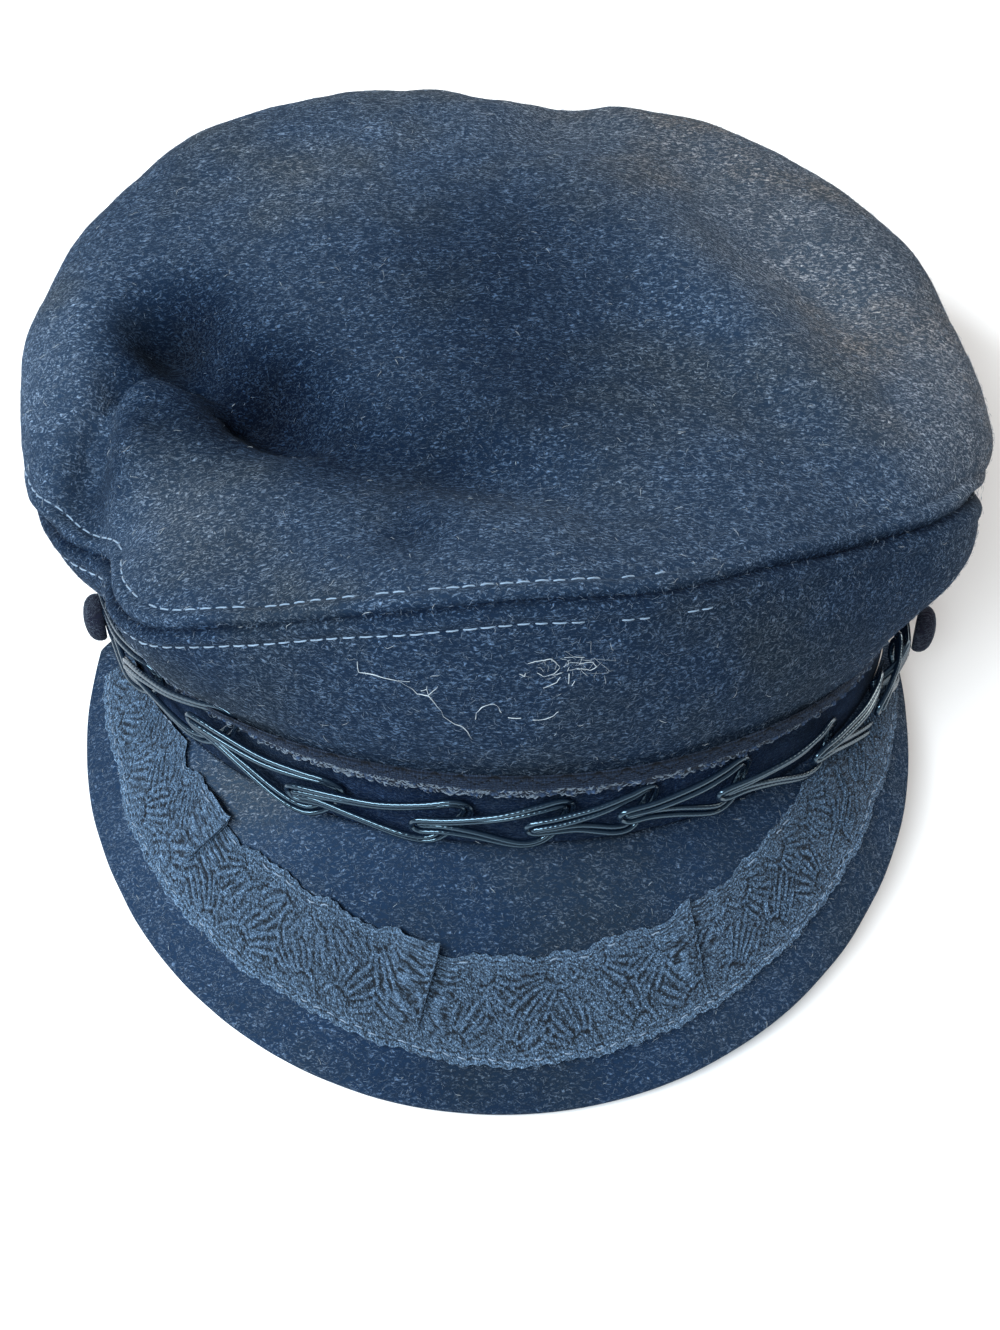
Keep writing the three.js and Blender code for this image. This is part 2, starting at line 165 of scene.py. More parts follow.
def times(tree, a, b, clamped=False):
    return add_node(tree, "Math", {0: a, 1: b}, operation="MULTIPLY", use_clamp=clamped).outputs[0]


def noise(tree, place, scale, detail=2.0, roughness=0.5):
    sockets = {"Vector": place, "Scale": scale, "Detail": detail, "Roughness": roughness}
    return add_node(tree, "TexNoise", sockets).outputs


def ranged(tree, value, start, end, low=0.0, high=1.0, way="LINEAR"):
    """Goes from low to high while the value goes from start to end, and is level beyond."""
    sockets = {"Value": value, "From Min": start, "From Max": end, "To Min": low, "To Max": high}
    return add_node(tree, "MapRange", sockets, interpolation_type=way).outputs[0]


def blended(tree, share, a, b, way="MIX"):
    sockets = {"Factor": share, "A": a, "B": b}
    return add_node(tree, "Mix", sockets, data_type="RGBA", blend_type=way).outputs["Result"]


def place_on_cap(tree):
    return add_node(tree, "TexCoord", {}).outputs["Object"]


def place_in_mm(tree):
    return vector_math(tree, "SCALE", {0: place_on_cap(tree), "Scale": 1000.0})[0]


def new_group(name, inputs, outputs):
    """An empty node group with its named sockets: the group, its inputs and its way out."""
    group = bpy.data.node_groups.new(name, "ShaderNodeTree")
    for label, value in inputs.items():
        kind = "NodeSocketColor" if isinstance(value, tuple) else "NodeSocketFloat"
        socket = group.interface.new_socket(name=label, in_out="INPUT", socket_type=kind)
        socket.default_value = value
    for label, kind in outputs.items():
        group.interface.new_socket(name=label, in_out="OUTPUT", socket_type=kind)
    entry = group.nodes.new("NodeGroupInput")
    return group, entry.outputs, group.nodes.new("NodeGroupOutput")


def heathered_wool():
    """Three layers of pale fibres, each lying its own way over a dark ground, in patches."""
    group, given, leave = new_group(
        "heathered_wool",
        {"Dark": (0.02, 0.035, 0.07, 1), "Pale": (0.1, 0.15, 0.23, 1),
         "Fibre size": 0.75, "Pale share": 0.5},
        {"Color": "NodeSocketColor", "Height": "NodeSocketFloat"},
    )
    in_mm = place_in_mm(group)
    sized = vector_math(group, "DIVIDE", {0: in_mm, 1: given["Fibre size"]})[0]
    # Slow swirls bend every layer, so no two hairs lie alike.
    swirl = noise(group, sized, 0.35)["Color"]
    bend = vector_math(group, "MULTIPLY_ADD", {0: swirl, 1: (3.0, 3.0, 3.0), 2: sized})[0]
    layers = []
    for turn, shift in (
        ((0.3, 0.5, 0.2), (0, 0, 0)),
        ((1.2, 0.1, 1.3), (7, 3, 5)),
        ((0.6, 1.4, 2.3), (2, 9, 4)),
    ):
        lay = add_node(group, "Mapping", {
            "Vector": bend, "Location": shift, "Rotation": turn, "Scale": (0.42, 1.35, 1.35),
        })
        layers.append(noise(group, lay.outputs[0], 1.0, 3, 0.6)["Fac"])
    top = layers[0]
    for layer in layers[1:]:
        top = add_node(group, "Math", {0: top, 1: layer}, operation="MAXIMUM").outputs[0]
    hairs = ranged(group, top, 0.54, 0.70, way="SMOOTHSTEP")
    patches = noise(group, in_mm, 0.2, 5, 0.65)["Fac"]
    share = times(group, hairs, given["Pale share"])
    share = times(group, share, ranged(group, patches, 0.3, 0.7, 0.45, 1.55), clamped=True)
    fill_sockets(group, leave, {
        "Color": blended(group, share, given["Dark"], given["Pale"]),
        "Height": hairs,
    })
    return group


def painted_warm_light():
    """Painted warm light: turns cloth paler and browner on the cap's back right, from a ragged line
    on, where warm light falls.
    """
    group, given, leave = new_group(
        "painted_warm_light",
        {"Color": (0.05, 0.07, 0.1, 1), "Amount": 1.0},
        {"Color": "NodeSocketColor"},
    )
    place = place_on_cap(group)
    back_right = vector_math(group, "DOT_PRODUCT", {0: place, 1: (800.0, 600.0, 0.0)})["Value"]
    cloud = noise(group, place, 45.0, 3)["Fac"]
    ragged = add_node(
        group, "Math", {0: cloud, 1: 40.0, 2: back_right}, operation="MULTIPLY_ADD")
    mask = ranged(group, ragged.outputs[0], 65.0, 125.0, way="SMOOTHSTEP")
    amount = times(group, mask, given["Amount"])
    tinted = blended(group, amount, given["Color"], WARM_LIGHT_TINT, "MULTIPLY")
    fill_sockets(group, leave, {"Color": tinted})
    return group


wool_pattern = heathered_wool()
warm_light = painted_warm_light()


def wool(name, dark, pale, pale_share, sheen, painted_light=None):
    """Wool cloth. The last argument names a mesh attribute of painted light and shade: 0.5 where
    the cloth has its own colour, more where light is painted on it, and less where shade is painted
    in a fold."""
    material, tree, shader = new_material(name)
    pattern = add_node(tree, "Group", {
        "Dark": (*dark, 1), "Pale": (*pale, 1), "Fibre size": FIBRE_SIZE, "Pale share": pale_share,
    }, node_tree=wool_pattern)
    color = pattern.outputs["Color"]
    if painted_light:
        # Painted light and shade: the gain read here scales the wool's colour.
        painted_gain = add_node(tree, "Attribute", {}, attribute_name=painted_light).outputs["Fac"]
        doubled = times(tree, painted_gain, 2.0)
        gains = {}
        for channel, power in LIGHT_AND_SHADE_POWERS.items():
            bent = add_node(tree, "Math", {0: doubled, 1: power}, operation="POWER")
            gains[channel] = bent.outputs[0]
        gain = add_node(tree, "CombineColor", gains).outputs[0]
        color = blended(tree, 1.0, color, gain, "MULTIPLY")
    warm_lit = add_node(tree, "Group", {"Color": color}, node_tree=warm_light).outputs["Color"]
    # Slow patches where brown and grey fibres show among the blue ones.
    cloud = noise(tree, place_on_cap(tree), 26.0, 4)["Fac"]
    patch = ranged(tree, cloud, 0.48, 0.68)
    relief = add_node(tree, "Bump", {
        "Strength": 0.8, "Distance": WOOL_RELIEF, "Height": pattern.outputs["Height"],
    })
    fill_sockets(tree, shader, {
        "Base Color": blended(tree, patch, warm_lit, BROWN_PATCH, "MULTIPLY"),
        "Roughness": 1.0,
        "Specular IOR Level": 0.04,
        "Sheen Weight": sheen,
        "Sheen Roughness": 0.32,
        "Sheen Tint": (0.55, 0.74, 1.0, 1),
        "Normal": relief.outputs["Normal"],
    })
    return material


# ---- Band ----------------------------------------------------------------------------------
# Wool hoop that sits on the head, lying flat at the back and lifted at the front by the
# peak. The crown is sewn to its upper edge and the peak to its lower edge.
CLOTH = 2.5
SEAM_GAP = 0.3
BAND_WALL = 3.0
BAND_HEIGHT = 25.0
FRONT_LIFT = (band_high.z / MM) - BAND_HEIGHT
REST_TURN = 138.0
BAND_HALF = np.array([band_high.x - band_low.x, band_high.y - band_low.y]) / 2 / MM


def unit(vectors):
    return vectors / np.maximum(1e-9, np.linalg.norm(vectors, axis=-1, keepdims=True))


def out_of_band(turn):
    a = np.radians(turn)
    return unit(np.stack([np.sin(a) / BAND_HALF[0], -np.cos(a) / BAND_HALF[1], 0 * a], -1))


def turns_around(stations):
    return np.arange(stations) * 360.0 / stations - 180.0


def band_face(turn, up):
    """The band's outer face, from its lower edge (up = 0) to the seam of the crown."""
    a = np.radians(turn)
    level = math.cos(math.radians(REST_TURN))
    climb = np.maximum(0, (np.cos(a) - level) / (1 - level))
    foot = FRONT_LIFT * climb ** 1.15
    return np.stack([
        BAND_HALF[0] * np.sin(a) + 0 * up,
        -BAND_HALF[1] * np.cos(a) + 0 * up,
        foot + BAND_HEIGHT * up,
    ], -1)


def mesh_piece(name, points, faces, material):
    mesh = bpy.data.meshes.new(name)
    mesh.from_pydata(in_metres(points).tolist(), [], faces)
    mesh.polygons.foreach_set("use_smooth", [True] * len(mesh.polygons))
    mesh.materials.append(material)
    piece = add_to_scene(name, mesh)
    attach(piece, "root")
    return piece


def body_mesh(name, rings, ends, material):
    """A closed body from rings of points, an array (ring, point, 3). Its ends are joined
    to each other ("loop") or closed on their mean points ("point")."""
    rings = np.asarray(rings, float)
    count, around = rings.shape[:2]
    index = np.arange(count * around).reshape(count, around)
    following = np.roll(index, -1, axis=1)
    if ends == "loop":
        low, high = index, np.roll(index, -1, axis=0)
        low_next, high_next = following, np.roll(following, -1, axis=0)
    else:
        low, high, low_next, high_next = index[:-1], index[1:], following[:-1], following[1:]
    quads = np.stack([low, low_next, high_next, high], -1).reshape(-1, 4)
    points = rings.reshape(-1, 3)
    faces = quads.tolist()
    if ends == "point":
        for ring, flip in ((0, True), (count - 1, False)):
            points = np.vstack([points, rings[ring].mean(0)])
            middle = len(points) - 1
            for a, b in zip(index[ring], following[ring]):
                faces.append([int(b), int(a), middle] if flip else [int(a), int(b), middle])
    a, b, c, d = (points[quads[:, corner]] for corner in range(4))
    volume = (a * (np.cross(b, c) + np.cross(c, d))).sum()
    if volume < 0:
        faces = [face[::-1] for face in faces]
    return mesh_piece(name, points, faces, material)


def lay_out(*columns):
    """Points listed as (station, point of the section) from one array for each point."""
    return np.stack(columns, axis=1)


BAND_STATIONS = 360
turns = turns_around(BAND_STATIONS)
band_wool = wool("band_wool", (0.003, 0.010, 0.030), (0.036, 0.078, 0.170), 0.55, 0.05)
inward = out_of_band(turns) * -BAND_WALL
outside = [band_face(turns, up) for up in np.linspace(0, 1, 9)]
inside = [face + inward for face in outside[::-1]]
band = body_mesh("head_band", lay_out(*outside, *inside), "loop", band_wool)
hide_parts("band")


# ---- Crown -----------------------------------------------------------------------------------
# Soft wool crown of two cloth panels, sewn together along the rim: a tall side panel that
# stands at the front and slumps over the band elsewhere, and a top with dents and folds
# that rolls over its own edge at the sides and back.

# The rim: turn, how far out and how high the widest place is, how much the top rolls over
# there, and the belly and sag of the side panel below.
RIM = np.array([
    (-160, 132.5, 71, 1, 5, 3), (-143, 136.5, 71.5, 1, 5, 3), (-125, 131, 70.5, 1, 5, 4),
    (-108, 126.7, 69, 1, 5, 4), (-94, 121.5, 67, 1, 5, 4), (-82, 118.3, 66, 0.6, 4, 3),
    (-72, 111.5, 68, 0, 4, 3), (-64, 104.5, 73, 0, 3, 2), (-54, 111, 80, 0, 3, 1),
    (-46, 111.5, 86, 0, 4, 1), (-35, 102.5, 95, 0, 4, 0), (-20, 95, 105, 0, 4, 0),
    (0, 90, 111, 0, 4, 0), (20, 89.5, 107.5, 0, 4, 0), (40, 90, 100, 0, 5, 0),
    (58, 97.5, 89.5, 0, 7, 2), (73, 110.5, 80, 0, 8, 3), (88, 117, 70.5, 1, 5, 3),
    (105, 117.8, 69, 1, 5, 3), (125, 123.5, 69, 1, 5, 3), (145, 126.1, 69, 1, 5, 3),
    (165, 127.5, 68.5, 1, 5, 3), (180, 124.4, 69, 1, 5, 3),
], float)
REACH, HEIGHT, ROLL, BELLY, SAG = 1, 2, 3, 4, 5
CROWN_MIDDLE = np.array([0.0, 12.0, 90.0])
CROWN_PUFF = 7.0
ROLL_FROM = 0.8
ROLL_DEEP = 19.5
ROLL_START = math.radians(20)
ROLL_END = math.radians(118)
WELT = 5.5


def hump(away, width):
    """A smooth hump: 1 where away is 0, about a third at one width, and then nothing."""
    return np.exp(-(away / width) ** 2)


def around_rim(column, turn):
    """One column of the rim's table at any turn, by a smooth curve through its rows."""
    knots, values = RIM[:, 0], RIM[:, column]
    knots = np.concatenate([knots - 360, knots, knots + 360])
    values = np.tile(values, 3)
    slopes = (np.roll(values, -1) - np.roll(values, 1))[1:-1] / (knots[2:] - knots[:-2])
    slopes = np.concatenate([[0], slopes, [0]])
    turn = (np.asarray(turn, float) + 180) % 360 - 180
    i = np.searchsorted(knots, turn, side="right") - 1
    span = knots[i + 1] - knots[i]
    u = (turn - knots[i]) / span
    return (values[i] * (1 + 2 * u) * (1 - u) ** 2 + slopes[i] * span * u * (1 - u) ** 2
            + values[i + 1] * u * u * (3 - 2 * u) + slopes[i + 1] * span * u * u * (u - 1))


def side_panel(turn, up):
    """The side, from the band (up = 0) to the rim seam (up = 1)."""
    foot = band_face(turn, 1 + 0 * up)
    foot[..., 2] += SEAM_GAP
    swell = 4 * up * (1 - up)
    point = foot + (top_panel(turn, 1 + 0 * up) - foot) * up[..., None]
    point = point + out_of_band(turn) * (swell * around_rim(BELLY, turn))[..., None]
    point[..., 2] -= swell * around_rim(SAG, turn)
    return point


# Dents and ridges: x, y, heading, half length, half width, rise
CROWN_FOLDS = [
    ("left pit", -84, 20, 128, 13, 9.5, -15),
    ("left valley", -61, -6, -38, 22, 10, -12),
    ("front valley", -12, -39, -20, 46, 13, -8),
    ("left ridge", -88, -34, 90, 34, 8, 6),
    ("left crease", -102, -22, 69, 19, 5.5, -8),
    ("shade under the tongue", -85, -12, -55, 8, 5, -4),
    ("right ridge", 57, 14, -55, 60, 13, 5),
    ("right hollow", 74, 36, -50, 30, 12, -6),
    ("back right hollow", 52, 82, -30, 20, 12, -4),
    ("back dip", 14, 106, 80, 22, 12, -6),
    ("front smudge", -23, -63, -65, 11, 7, -3.5),
]
# Sharp fold lines in the cloth: how far it drops on the line's left side, how wide the
# drop is, and the line's points. A low lip stands on the line's other side.
FOLD_LINES = [
    ("fold down the left front", -6.0, 0.8,
     [(-91, -66), (-92.3, -56), (-93.3, -44), (-94.5, -35), (-96, -22), (-96, -14), (-95, -5),
      (-91, 2)]),
    ("lip of the pit", -6.0, 1.0,
     [(-93, 0), (-86, 2.5), (-81, 2), (-77, 0.5)]),
    ("edge of the valley", -5.5, 2.4,
     [(-66, -13), (-61.5, -17.5), (-56.8, -21), (-50, -24.5)]),
]
FOLD_REACH = 9.0
LIP_RISE = 0.9


def top_panel(turn, out):
    """The top, from its middle (out = 0) over its rolled edge to the rim seam (out = 1)."""
    reach, height = around_rim(REACH, turn), around_rim(HEIGHT, turn)
    rolled = np.clip(around_rim(ROLL, turn), 0, 1)
    flat_height = CROWN_MIDDLE[2] + out ** 2.4 * (height - CROWN_MIDDLE[2])
    flat_height = flat_height + CROWN_PUFF * (1 - out ** 8)
    arc = ROLL_START + (ROLL_END - ROLL_START) * np.clip((out - ROLL_FROM) / (1 - ROLL_FROM), 0, 1)
    middle = CROWN_MIDDLE[2] + CROWN_PUFF
    shoulder = height + ROLL_DEEP * math.cos(ROLL_START)
    spread = (1 - ROLL_FROM) / (1 - math.sin(ROLL_START))
    within = out < ROLL_FROM
    rolled_far = np.where(within, out, 1 - spread * (1 - np.sin(arc)))
    domed = middle - (middle - shoulder) * (out / ROLL_FROM) ** 2
    rolled_height = np.where(within, domed, height + ROLL_DEEP * np.cos(arc))
    far = out + (rolled_far - out) * rolled
    a = np.radians(turn)
    x = CROWN_MIDDLE[0] + far * (reach * np.sin(a) - CROWN_MIDDLE[0])
    y = CROWN_MIDDLE[1] + far * (-reach * np.cos(a) - CROWN_MIDDLE[1])
    z = flat_height + (rolled_height - flat_height) * rolled
    hold = 1 - out ** 6
    for _, fold_x, fold_y, heading, length, width, rise in CROWN_FOLDS:
        a = math.radians(heading)
        along = ((x - fold_x) * math.cos(a) + (y - fold_y) * math.sin(a)) / length
        across = (-(x - fold_x) * math.sin(a) + (y - fold_y) * math.cos(a)) / width
        z = z + hold * rise * np.exp(-along ** 2 - across ** 2)
    hold = 1 - out ** 24
    for _, drop, width, points in FOLD_LINES:
        apart, side, end = beside_line(x, y, points)
        step = 1 / (1 + np.exp(-side * apart / width))
        z = z + hold * drop * end * step * hump(apart, FOLD_REACH)
        z = z + hold * LIP_RISE * end * (1 - step) * hump(apart - 1.5, 2.5)
    return np.stack([x, y, z], -1)


def beside_line(x, y, points):
    """How far each place lies from a line of points, on which side of it (+1 left), and a
    share that fades to nothing beyond the line's ends."""
    nearest = np.full(x.shape, 1e9)
    side = np.ones(x.shape)
    end = np.ones(x.shape)
    last = len(points) - 2
    for i, ((ax, ay), (bx, by)) in enumerate(zip(points, points[1:])):
        length = math.hypot(bx - ax, by - ay)
        ux, uy = (bx - ax) / length, (by - ay) / length
        along = (x - ax) * ux + (y - ay) * uy
        kept = np.clip(along, 0, length)
        gap = np.hypot(x - ax - kept * ux, y - ay - kept * uy)
        left = np.where((y - ay) * ux - (x - ax) * uy > 0, 1.0, -1.0)
        over = np.where(along < 0, -along, 0) * (i == 0)
        over = over + np.where(along > length, along - length, 0) * (i == last)
        nearer = gap < nearest
        nearest = np.where(nearer, gap, nearest)
        side = np.where(nearer, left, side)
        end = np.where(nearer, np.exp(-(over / 6) ** 2), end)
    return nearest, side, end


def surface_normal(points):
    """Unit normals of a surface given as rings (ring, station, 3) that go once round. They
    point outward where the rings go up and inward where they come down."""
    along = np.roll(points, -1, axis=1) - np.roll(points, 1, axis=1)
    return unit(np.cross(along, np.gradient(points, axis=0)))


def uneven(along, length, seed):
    """Smooth random waves about one unit high along a line, no shorter than length."""
    waves = np.random.default_rng(seed)
    total = np.zeros(np.shape(along))
    for _ in range(7):
        stretch = length * waves.uniform(1.0, 4.0)
        total = total + np.sin(2 * math.pi * along / stretch + waves.uniform(0, 6.3))
    return total / 2.6


def soft_lumps(points, size, seed):
    """Slow, uneven swellings of felted cloth, about one unit high."""
    waves = np.random.default_rng(seed)
    total = np.zeros(points.shape[:-1])
    for _ in range(14):
        heading = unit(waves.normal(size=3))
        stretch = size * waves.uniform(0.7, 2.2)
        total = total + np.sin(2 * math.pi * (points @ heading) / stretch + waves.uniform(0, 6.3))
    return total / 3.7


def lumps(points, kinds):
    return sum(height * soft_lumps(points, size, seed) for height, size, seed in kinds)


def seam_welt(from_rim):
    """Height of the cloth by its distance from the rim seam: turned in at the seam itself,
    padded by the seam allowance, and drawn in where the row of stitches holds it."""
    turned_in = -2.2 * hump(from_rim, 1.1)
    padded = 0.8 * hump(from_rim - 2.9, 1.7)
    drawn_in = -0.45 * hump(from_rim - WELT, 0.8)
    return turned_in + padded + drawn_in


CROWN_STATIONS = 480
crown_turns = turns_around(CROWN_STATIONS)
crown_wool = wool("crown_wool", (0.010, 0.022, 0.045), (0.153, 0.233, 0.358), 0.85, 0.03, "painted_light")
# Painted light and shade on the crown, paler where light falls and darker in dents and hollows: x,
# y, radius, gain
CROWN_LIGHT_AND_SHADE = [
    (-8, 35, 32, 0.55), (2, -10, 28, 0.55), (-84, 18, 15, 0.13), (-62, -8, 16, 0.11),
    (-42, -26, 14, 0.42), (-20, -38, 16, 0.52), (-87, -12, 9, 0.55), (-23, -63, 9, 0.6),
    (-97, -26, 8, 0.6),
    (72, 42, 34, 1.45), (108, 5, 30, 1.6), (60, 95, 34, 1.35), (96, -28, 18, 1.25),
    (-108, 15, 26, 1.6), (-78, -46, 18, 1.35), (-45, 70, 30, 1.25), (-5, 105, 34, 1.2),
]
# Painted shade: the side panel's wool is drawn darker than the top's.
SIDE_SHADE = 0.67
# Swellings of the two panels: height, size, seed.
SIDE_LUMPS = [(0.35, 26, 22), (0.08, 7, 23)]
TOP_LUMPS = [(0.55, 30, 31), (0.09, 7, 32)]
# The side's foot is gathered into the band's seam.
BAND_REACH = 100.0
FOOT_PUCKER, FOOT_PUCKER_TALL = 1.5, 4.0
# Painted shade in the groove of the rim seam: how much darker the wool is drawn, and how far from
# the seam.
GROOVE_SHADE = 0.85
GROOVE_WIDTH = 1.15


def light_and_shade_gain(points, places, own):
    """Gain of painted light and shade at each point: own everywhere, times the gain of each place
    nearby."""
    gain = np.full(points.shape[:-1], own)
    for x, y, radius, place_gain in places:
        away = np.hypot(points[..., 0] - x, points[..., 1] - y)
        gain = gain * place_gain ** hump(away, radius)
    return gain


def store_on_points(piece, name, values):
    piece.data.attributes.new(name, "FLOAT", "POINT").data.foreach_set("value", values)


def store_light_and_shade(piece, points, own, places, shaded=1.0):
    """Stores half the gain of painted light and shade at each point of a piece, as the attribute
    its wool reads.
    """
    gain = light_and_shade_gain(points, places, own) * shaded
    closing_points = len(piece.data.vertices) - len(gain)
    store_on_points(piece, "painted_light", np.concatenate([gain / 2, np.full(closing_points, 0.5)]))


def groove_shade(from_rim, rings):
    """Painted shade: the wool is drawn dark in the groove of the rim seam. The rings of the back
    aren't shaded.
    """
    shade = np.ones(rings.shape[:2])
    shade[:len(from_rim)] = 1 - GROOVE_SHADE * hump(from_rim, GROOVE_WIDTH)
    return shade


# Side panel. Its rows crowd together towards the rim, where the seam is.
up_rows = np.concatenate([np.linspace(0, 0.86, 40)[:-1], np.linspace(0.86, 0.997, 26)])
side_turn = crown_turns[None, :] + 0 * up_rows[:, None]
side_smooth = side_panel(side_turn, up_rows[:, None] + 0 * crown_turns)
side_normal = surface_normal(side_smooth)
side_length = np.linalg.norm(side_smooth[-1] - side_smooth[0], axis=-1)
side_from_rim = (1 - up_rows[:, None]) * side_length[None, :]
along_foot = np.radians(crown_turns)[None, :] * BAND_REACH
above_foot = up_rows[:, None] * side_length[None, :]
puckers = (FOOT_PUCKER + 0.15 * uneven(along_foot, 5.0, 21)) * hump(above_foot, FOOT_PUCKER_TALL)
side_height = seam_welt(side_from_rim) + puckers + lumps(side_smooth, SIDE_LUMPS)
side_out = side_smooth + side_normal * side_height[..., None]
# The back of the cloth is plain, so one row in six will do there.
side_in = (side_smooth - side_normal * CLOTH)[::-6]
side_rings = np.concatenate([side_out, side_in], axis=0)
side_groove = groove_shade(side_from_rim, side_rings).T.ravel()
side_sections = side_rings.transpose(1, 0, 2)
crown_side = body_mesh("side_panel", side_sections, "loop", crown_wool)
store_light_and_shade(crown_side, side_sections.reshape(-1, 3), SIDE_SHADE, CROWN_LIGHT_AND_SHADE, side_groove)
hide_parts("crown_side")

# Top panel, from its middle to the rim.
out_rows = np.concatenate([
    np.linspace(0.012, 0.8, 84)[:-1],
    np.linspace(0.8, 0.93, 18)[:-1],
    np.linspace(0.93, 0.9985, 30),
])
top_turn = crown_turns[None, :] + 0 * out_rows[:, None]
top_smooth = top_panel(top_turn, out_rows[:, None] + 0 * crown_turns)
top_normal = -surface_normal(top_smooth)
steps = np.linalg.norm(np.diff(top_smooth, axis=0), axis=-1)
top_from_rim = np.zeros(top_smooth.shape[:2])
top_from_rim[:-1] = np.cumsum(steps[::-1], axis=0)[::-1]
top_height = seam_welt(top_from_rim) + lumps(top_smooth, TOP_LUMPS)
top_out = top_smooth + top_normal * top_height[..., None]
# One row in five does for the plain back.
top_in = (top_smooth - top_normal * CLOTH)[::-5]
top_rings = np.concatenate([top_out, top_in], axis=0)
top_groove = groove_shade(top_from_rim, top_rings).ravel()
crown_top = body_mesh("top_panel", top_rings, "point", crown_wool)
store_light_and_shade(crown_top, top_rings.reshape(-1, 3), 1.0, CROWN_LIGHT_AND_SHADE, top_groove)
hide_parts("crown_top")


# ---- Band trim -------------------------------------------------------------------------------
# Narrow ribbed braid that hides the seam between band and crown. At the front, where the
# crown stands up, it lies over the crown's foot, and at the sides under the crown.
TRIM_HEIGHT = 8.0
TRIM_ABOVE_SEAM = 6.6
TRIM_THICK = 0.9
TRIM_STATIONS = 1500
TRIM_ROWS = 40
CORD_PITCH = 0.85
PICK_PITCH = 0.9
ZIGZAG_PITCH = 7.0
ZIGZAG_DROP = 0.4
ZIGZAG_SWING = 2.6
ZIGZAG_WIDTH = 0.32
# Shares of the way down the trim: where the cords end, and the two rows of ragged loops.
CORDS_END = 0.58
UPPER_NUBS, UPPER_NUBS_WIDTH = 0.68, 0.055
LOWER_NUBS, LOWER_NUBS_WIDTH = 0.88, 0.085
YARN_RELIEF = 0.0003

trim_turns = turns_around(TRIM_STATIONS)
trim_out = out_of_band(trim_turns)
along_trim = np.radians(trim_turns) * BAND_HALF.mean()
over_crown = np.exp(-(trim_turns / 52) ** 4)


def trim_seat(down):
    """The cloth that the trim lies on at one share of the way down it."""
    rise = TRIM_ABOVE_SEAM * over_crown - TRIM_HEIGHT * down
    tall = np.interp(trim_turns, crown_turns, side_length)
    on_crown = side_panel(trim_turns, np.maximum(0, rise) / tall)
    on_band = band_face(trim_turns, 1 + np.minimum(0, rise) / BAND_HEIGHT)
    seat = np.where(rise[:, None] > 0, on_crown, on_band)
    # At the front it stands clear of the puckers at the crown's foot.
    clear = over_crown * FOOT_PUCKER / (1 + np.exp(-(rise + 1.6) / 0.5))
    return seat + trim_out * (SEAM_GAP + clear)[:, None]


def ragged_nubs(length, seed):
    loops = np.abs(np.sin(math.pi * along_trim / length + 1.6 * uneven(along_trim, 4, seed)))
    return np.clip(loops * (0.62 + 0.5 * uneven(along_trim, 2.6, seed + 1)), 0.04, 1.2)


upper_nubs = ragged_nubs(2.1, 3)
lower_nubs = ragged_nubs(1.4, 7)
ragged = 0.35 * uneven(along_trim, 2.2, 4)


def trim_thickness_and_shade(down):
    """Thickness of the trim at one share of the way down it, and how pale it is there: fine cords
    run along it, a zigzag thread crosses them, and under them hang two ragged rows of pale loops.
    The paleness follows the cords and the zigzag as painted shade in their grooves."""
    drop = TRIM_HEIGHT * down
    wander = 0.35 * uneven(along_trim, 14, 5)
    cords = np.cos(2 * math.pi * (drop + 0.15 * wander) / CORD_PITCH)
    swing = (along_trim + 0.8 * uneven(along_trim, 15, 6)) / ZIGZAG_PITCH
    peaks = np.abs(swing % 1.0 - 0.5) * 2
    zigzag = hump(drop - ZIGZAG_DROP - ZIGZAG_SWING * peaks ** 1.6, ZIGZAG_WIDTH)
    picks = np.sin(2 * math.pi * along_trim / PICK_PITCH + 4 * wander)
    edge = min(1.0, max(0.0, (down - CORDS_END) / 0.1))
    beads = (hump(down - UPPER_NUBS, UPPER_NUBS_WIDTH) * upper_nubs
             + hump(down - LOWER_NUBS, LOWER_NUBS_WIDTH) * lower_nubs)
    thick = TRIM_THICK - 0.3 * edge + (1 - edge) * (0.22 * cords - 0.5 * zigzag) + 0.75 * beads
    thick = thick - 0.9 * hump(down, 0.05)
    flat = 0.17 + 0.13 * cords + 0.05 * picks - 0.2 * zigzag
    pale = (1 - edge) * np.clip(flat, 0, 1) + 0.02 * edge + 0.9 * beads
    return thick, np.clip(pale, 0, 1)


trim_rows = []
trim_floats_and_shade = []
for down in np.linspace(0, 1, TRIM_ROWS):
    thick, pale = trim_thickness_and_shade(down)
    face = trim_seat(down) + trim_out * thick[:, None]
    # The last fifth hangs in loops of uneven length.
    face[:, 2] -= max(0.0, (down - 0.8) / 0.2) * (0.4 * lower_nubs + ragged)
    trim_rows.append(face)
    trim_floats_and_shade.append(pale)
trim_back = [trim_seat(down) for down in (1.0, 0.75, 0.5, 0.25, 0.0)]


def crossing_yarns():
    """Round threads packed side by side, pale on top with painted shade between them, in flecks."""
    group, given, leave = new_group(
        "crossing_yarns",
        {"Dark": (0.02, 0.03, 0.05, 1), "Pale": (0.1, 0.13, 0.18, 1), "Thread": 0.4},
        {"Color": "NodeSocketColor", "Height": "NodeSocketFloat"},
    )
    threads = vector_math(group, "DIVIDE", {0: place_in_mm(group), 1: given["Thread"]})[0]
    grain = add_node(group, "TexVoronoi", {"Vector": threads, "Scale": 1.0, "Randomness": 0.85})
    flecks = noise(group, threads, 0.9, 4, 0.7)["Fac"]
    round_thread = ranged(group, grain.outputs["Distance"], 0.1, 0.75, 1.0, 0.0)
    share = times(group, round_thread, ranged(group, flecks, 0.35, 0.7))
    fill_sockets(group, leave, {
        "Color": blended(group, share, given["Dark"], given["Pale"]),
        "Height": round_thread,
    })
    return group


yarn_pattern = crossing_yarns()


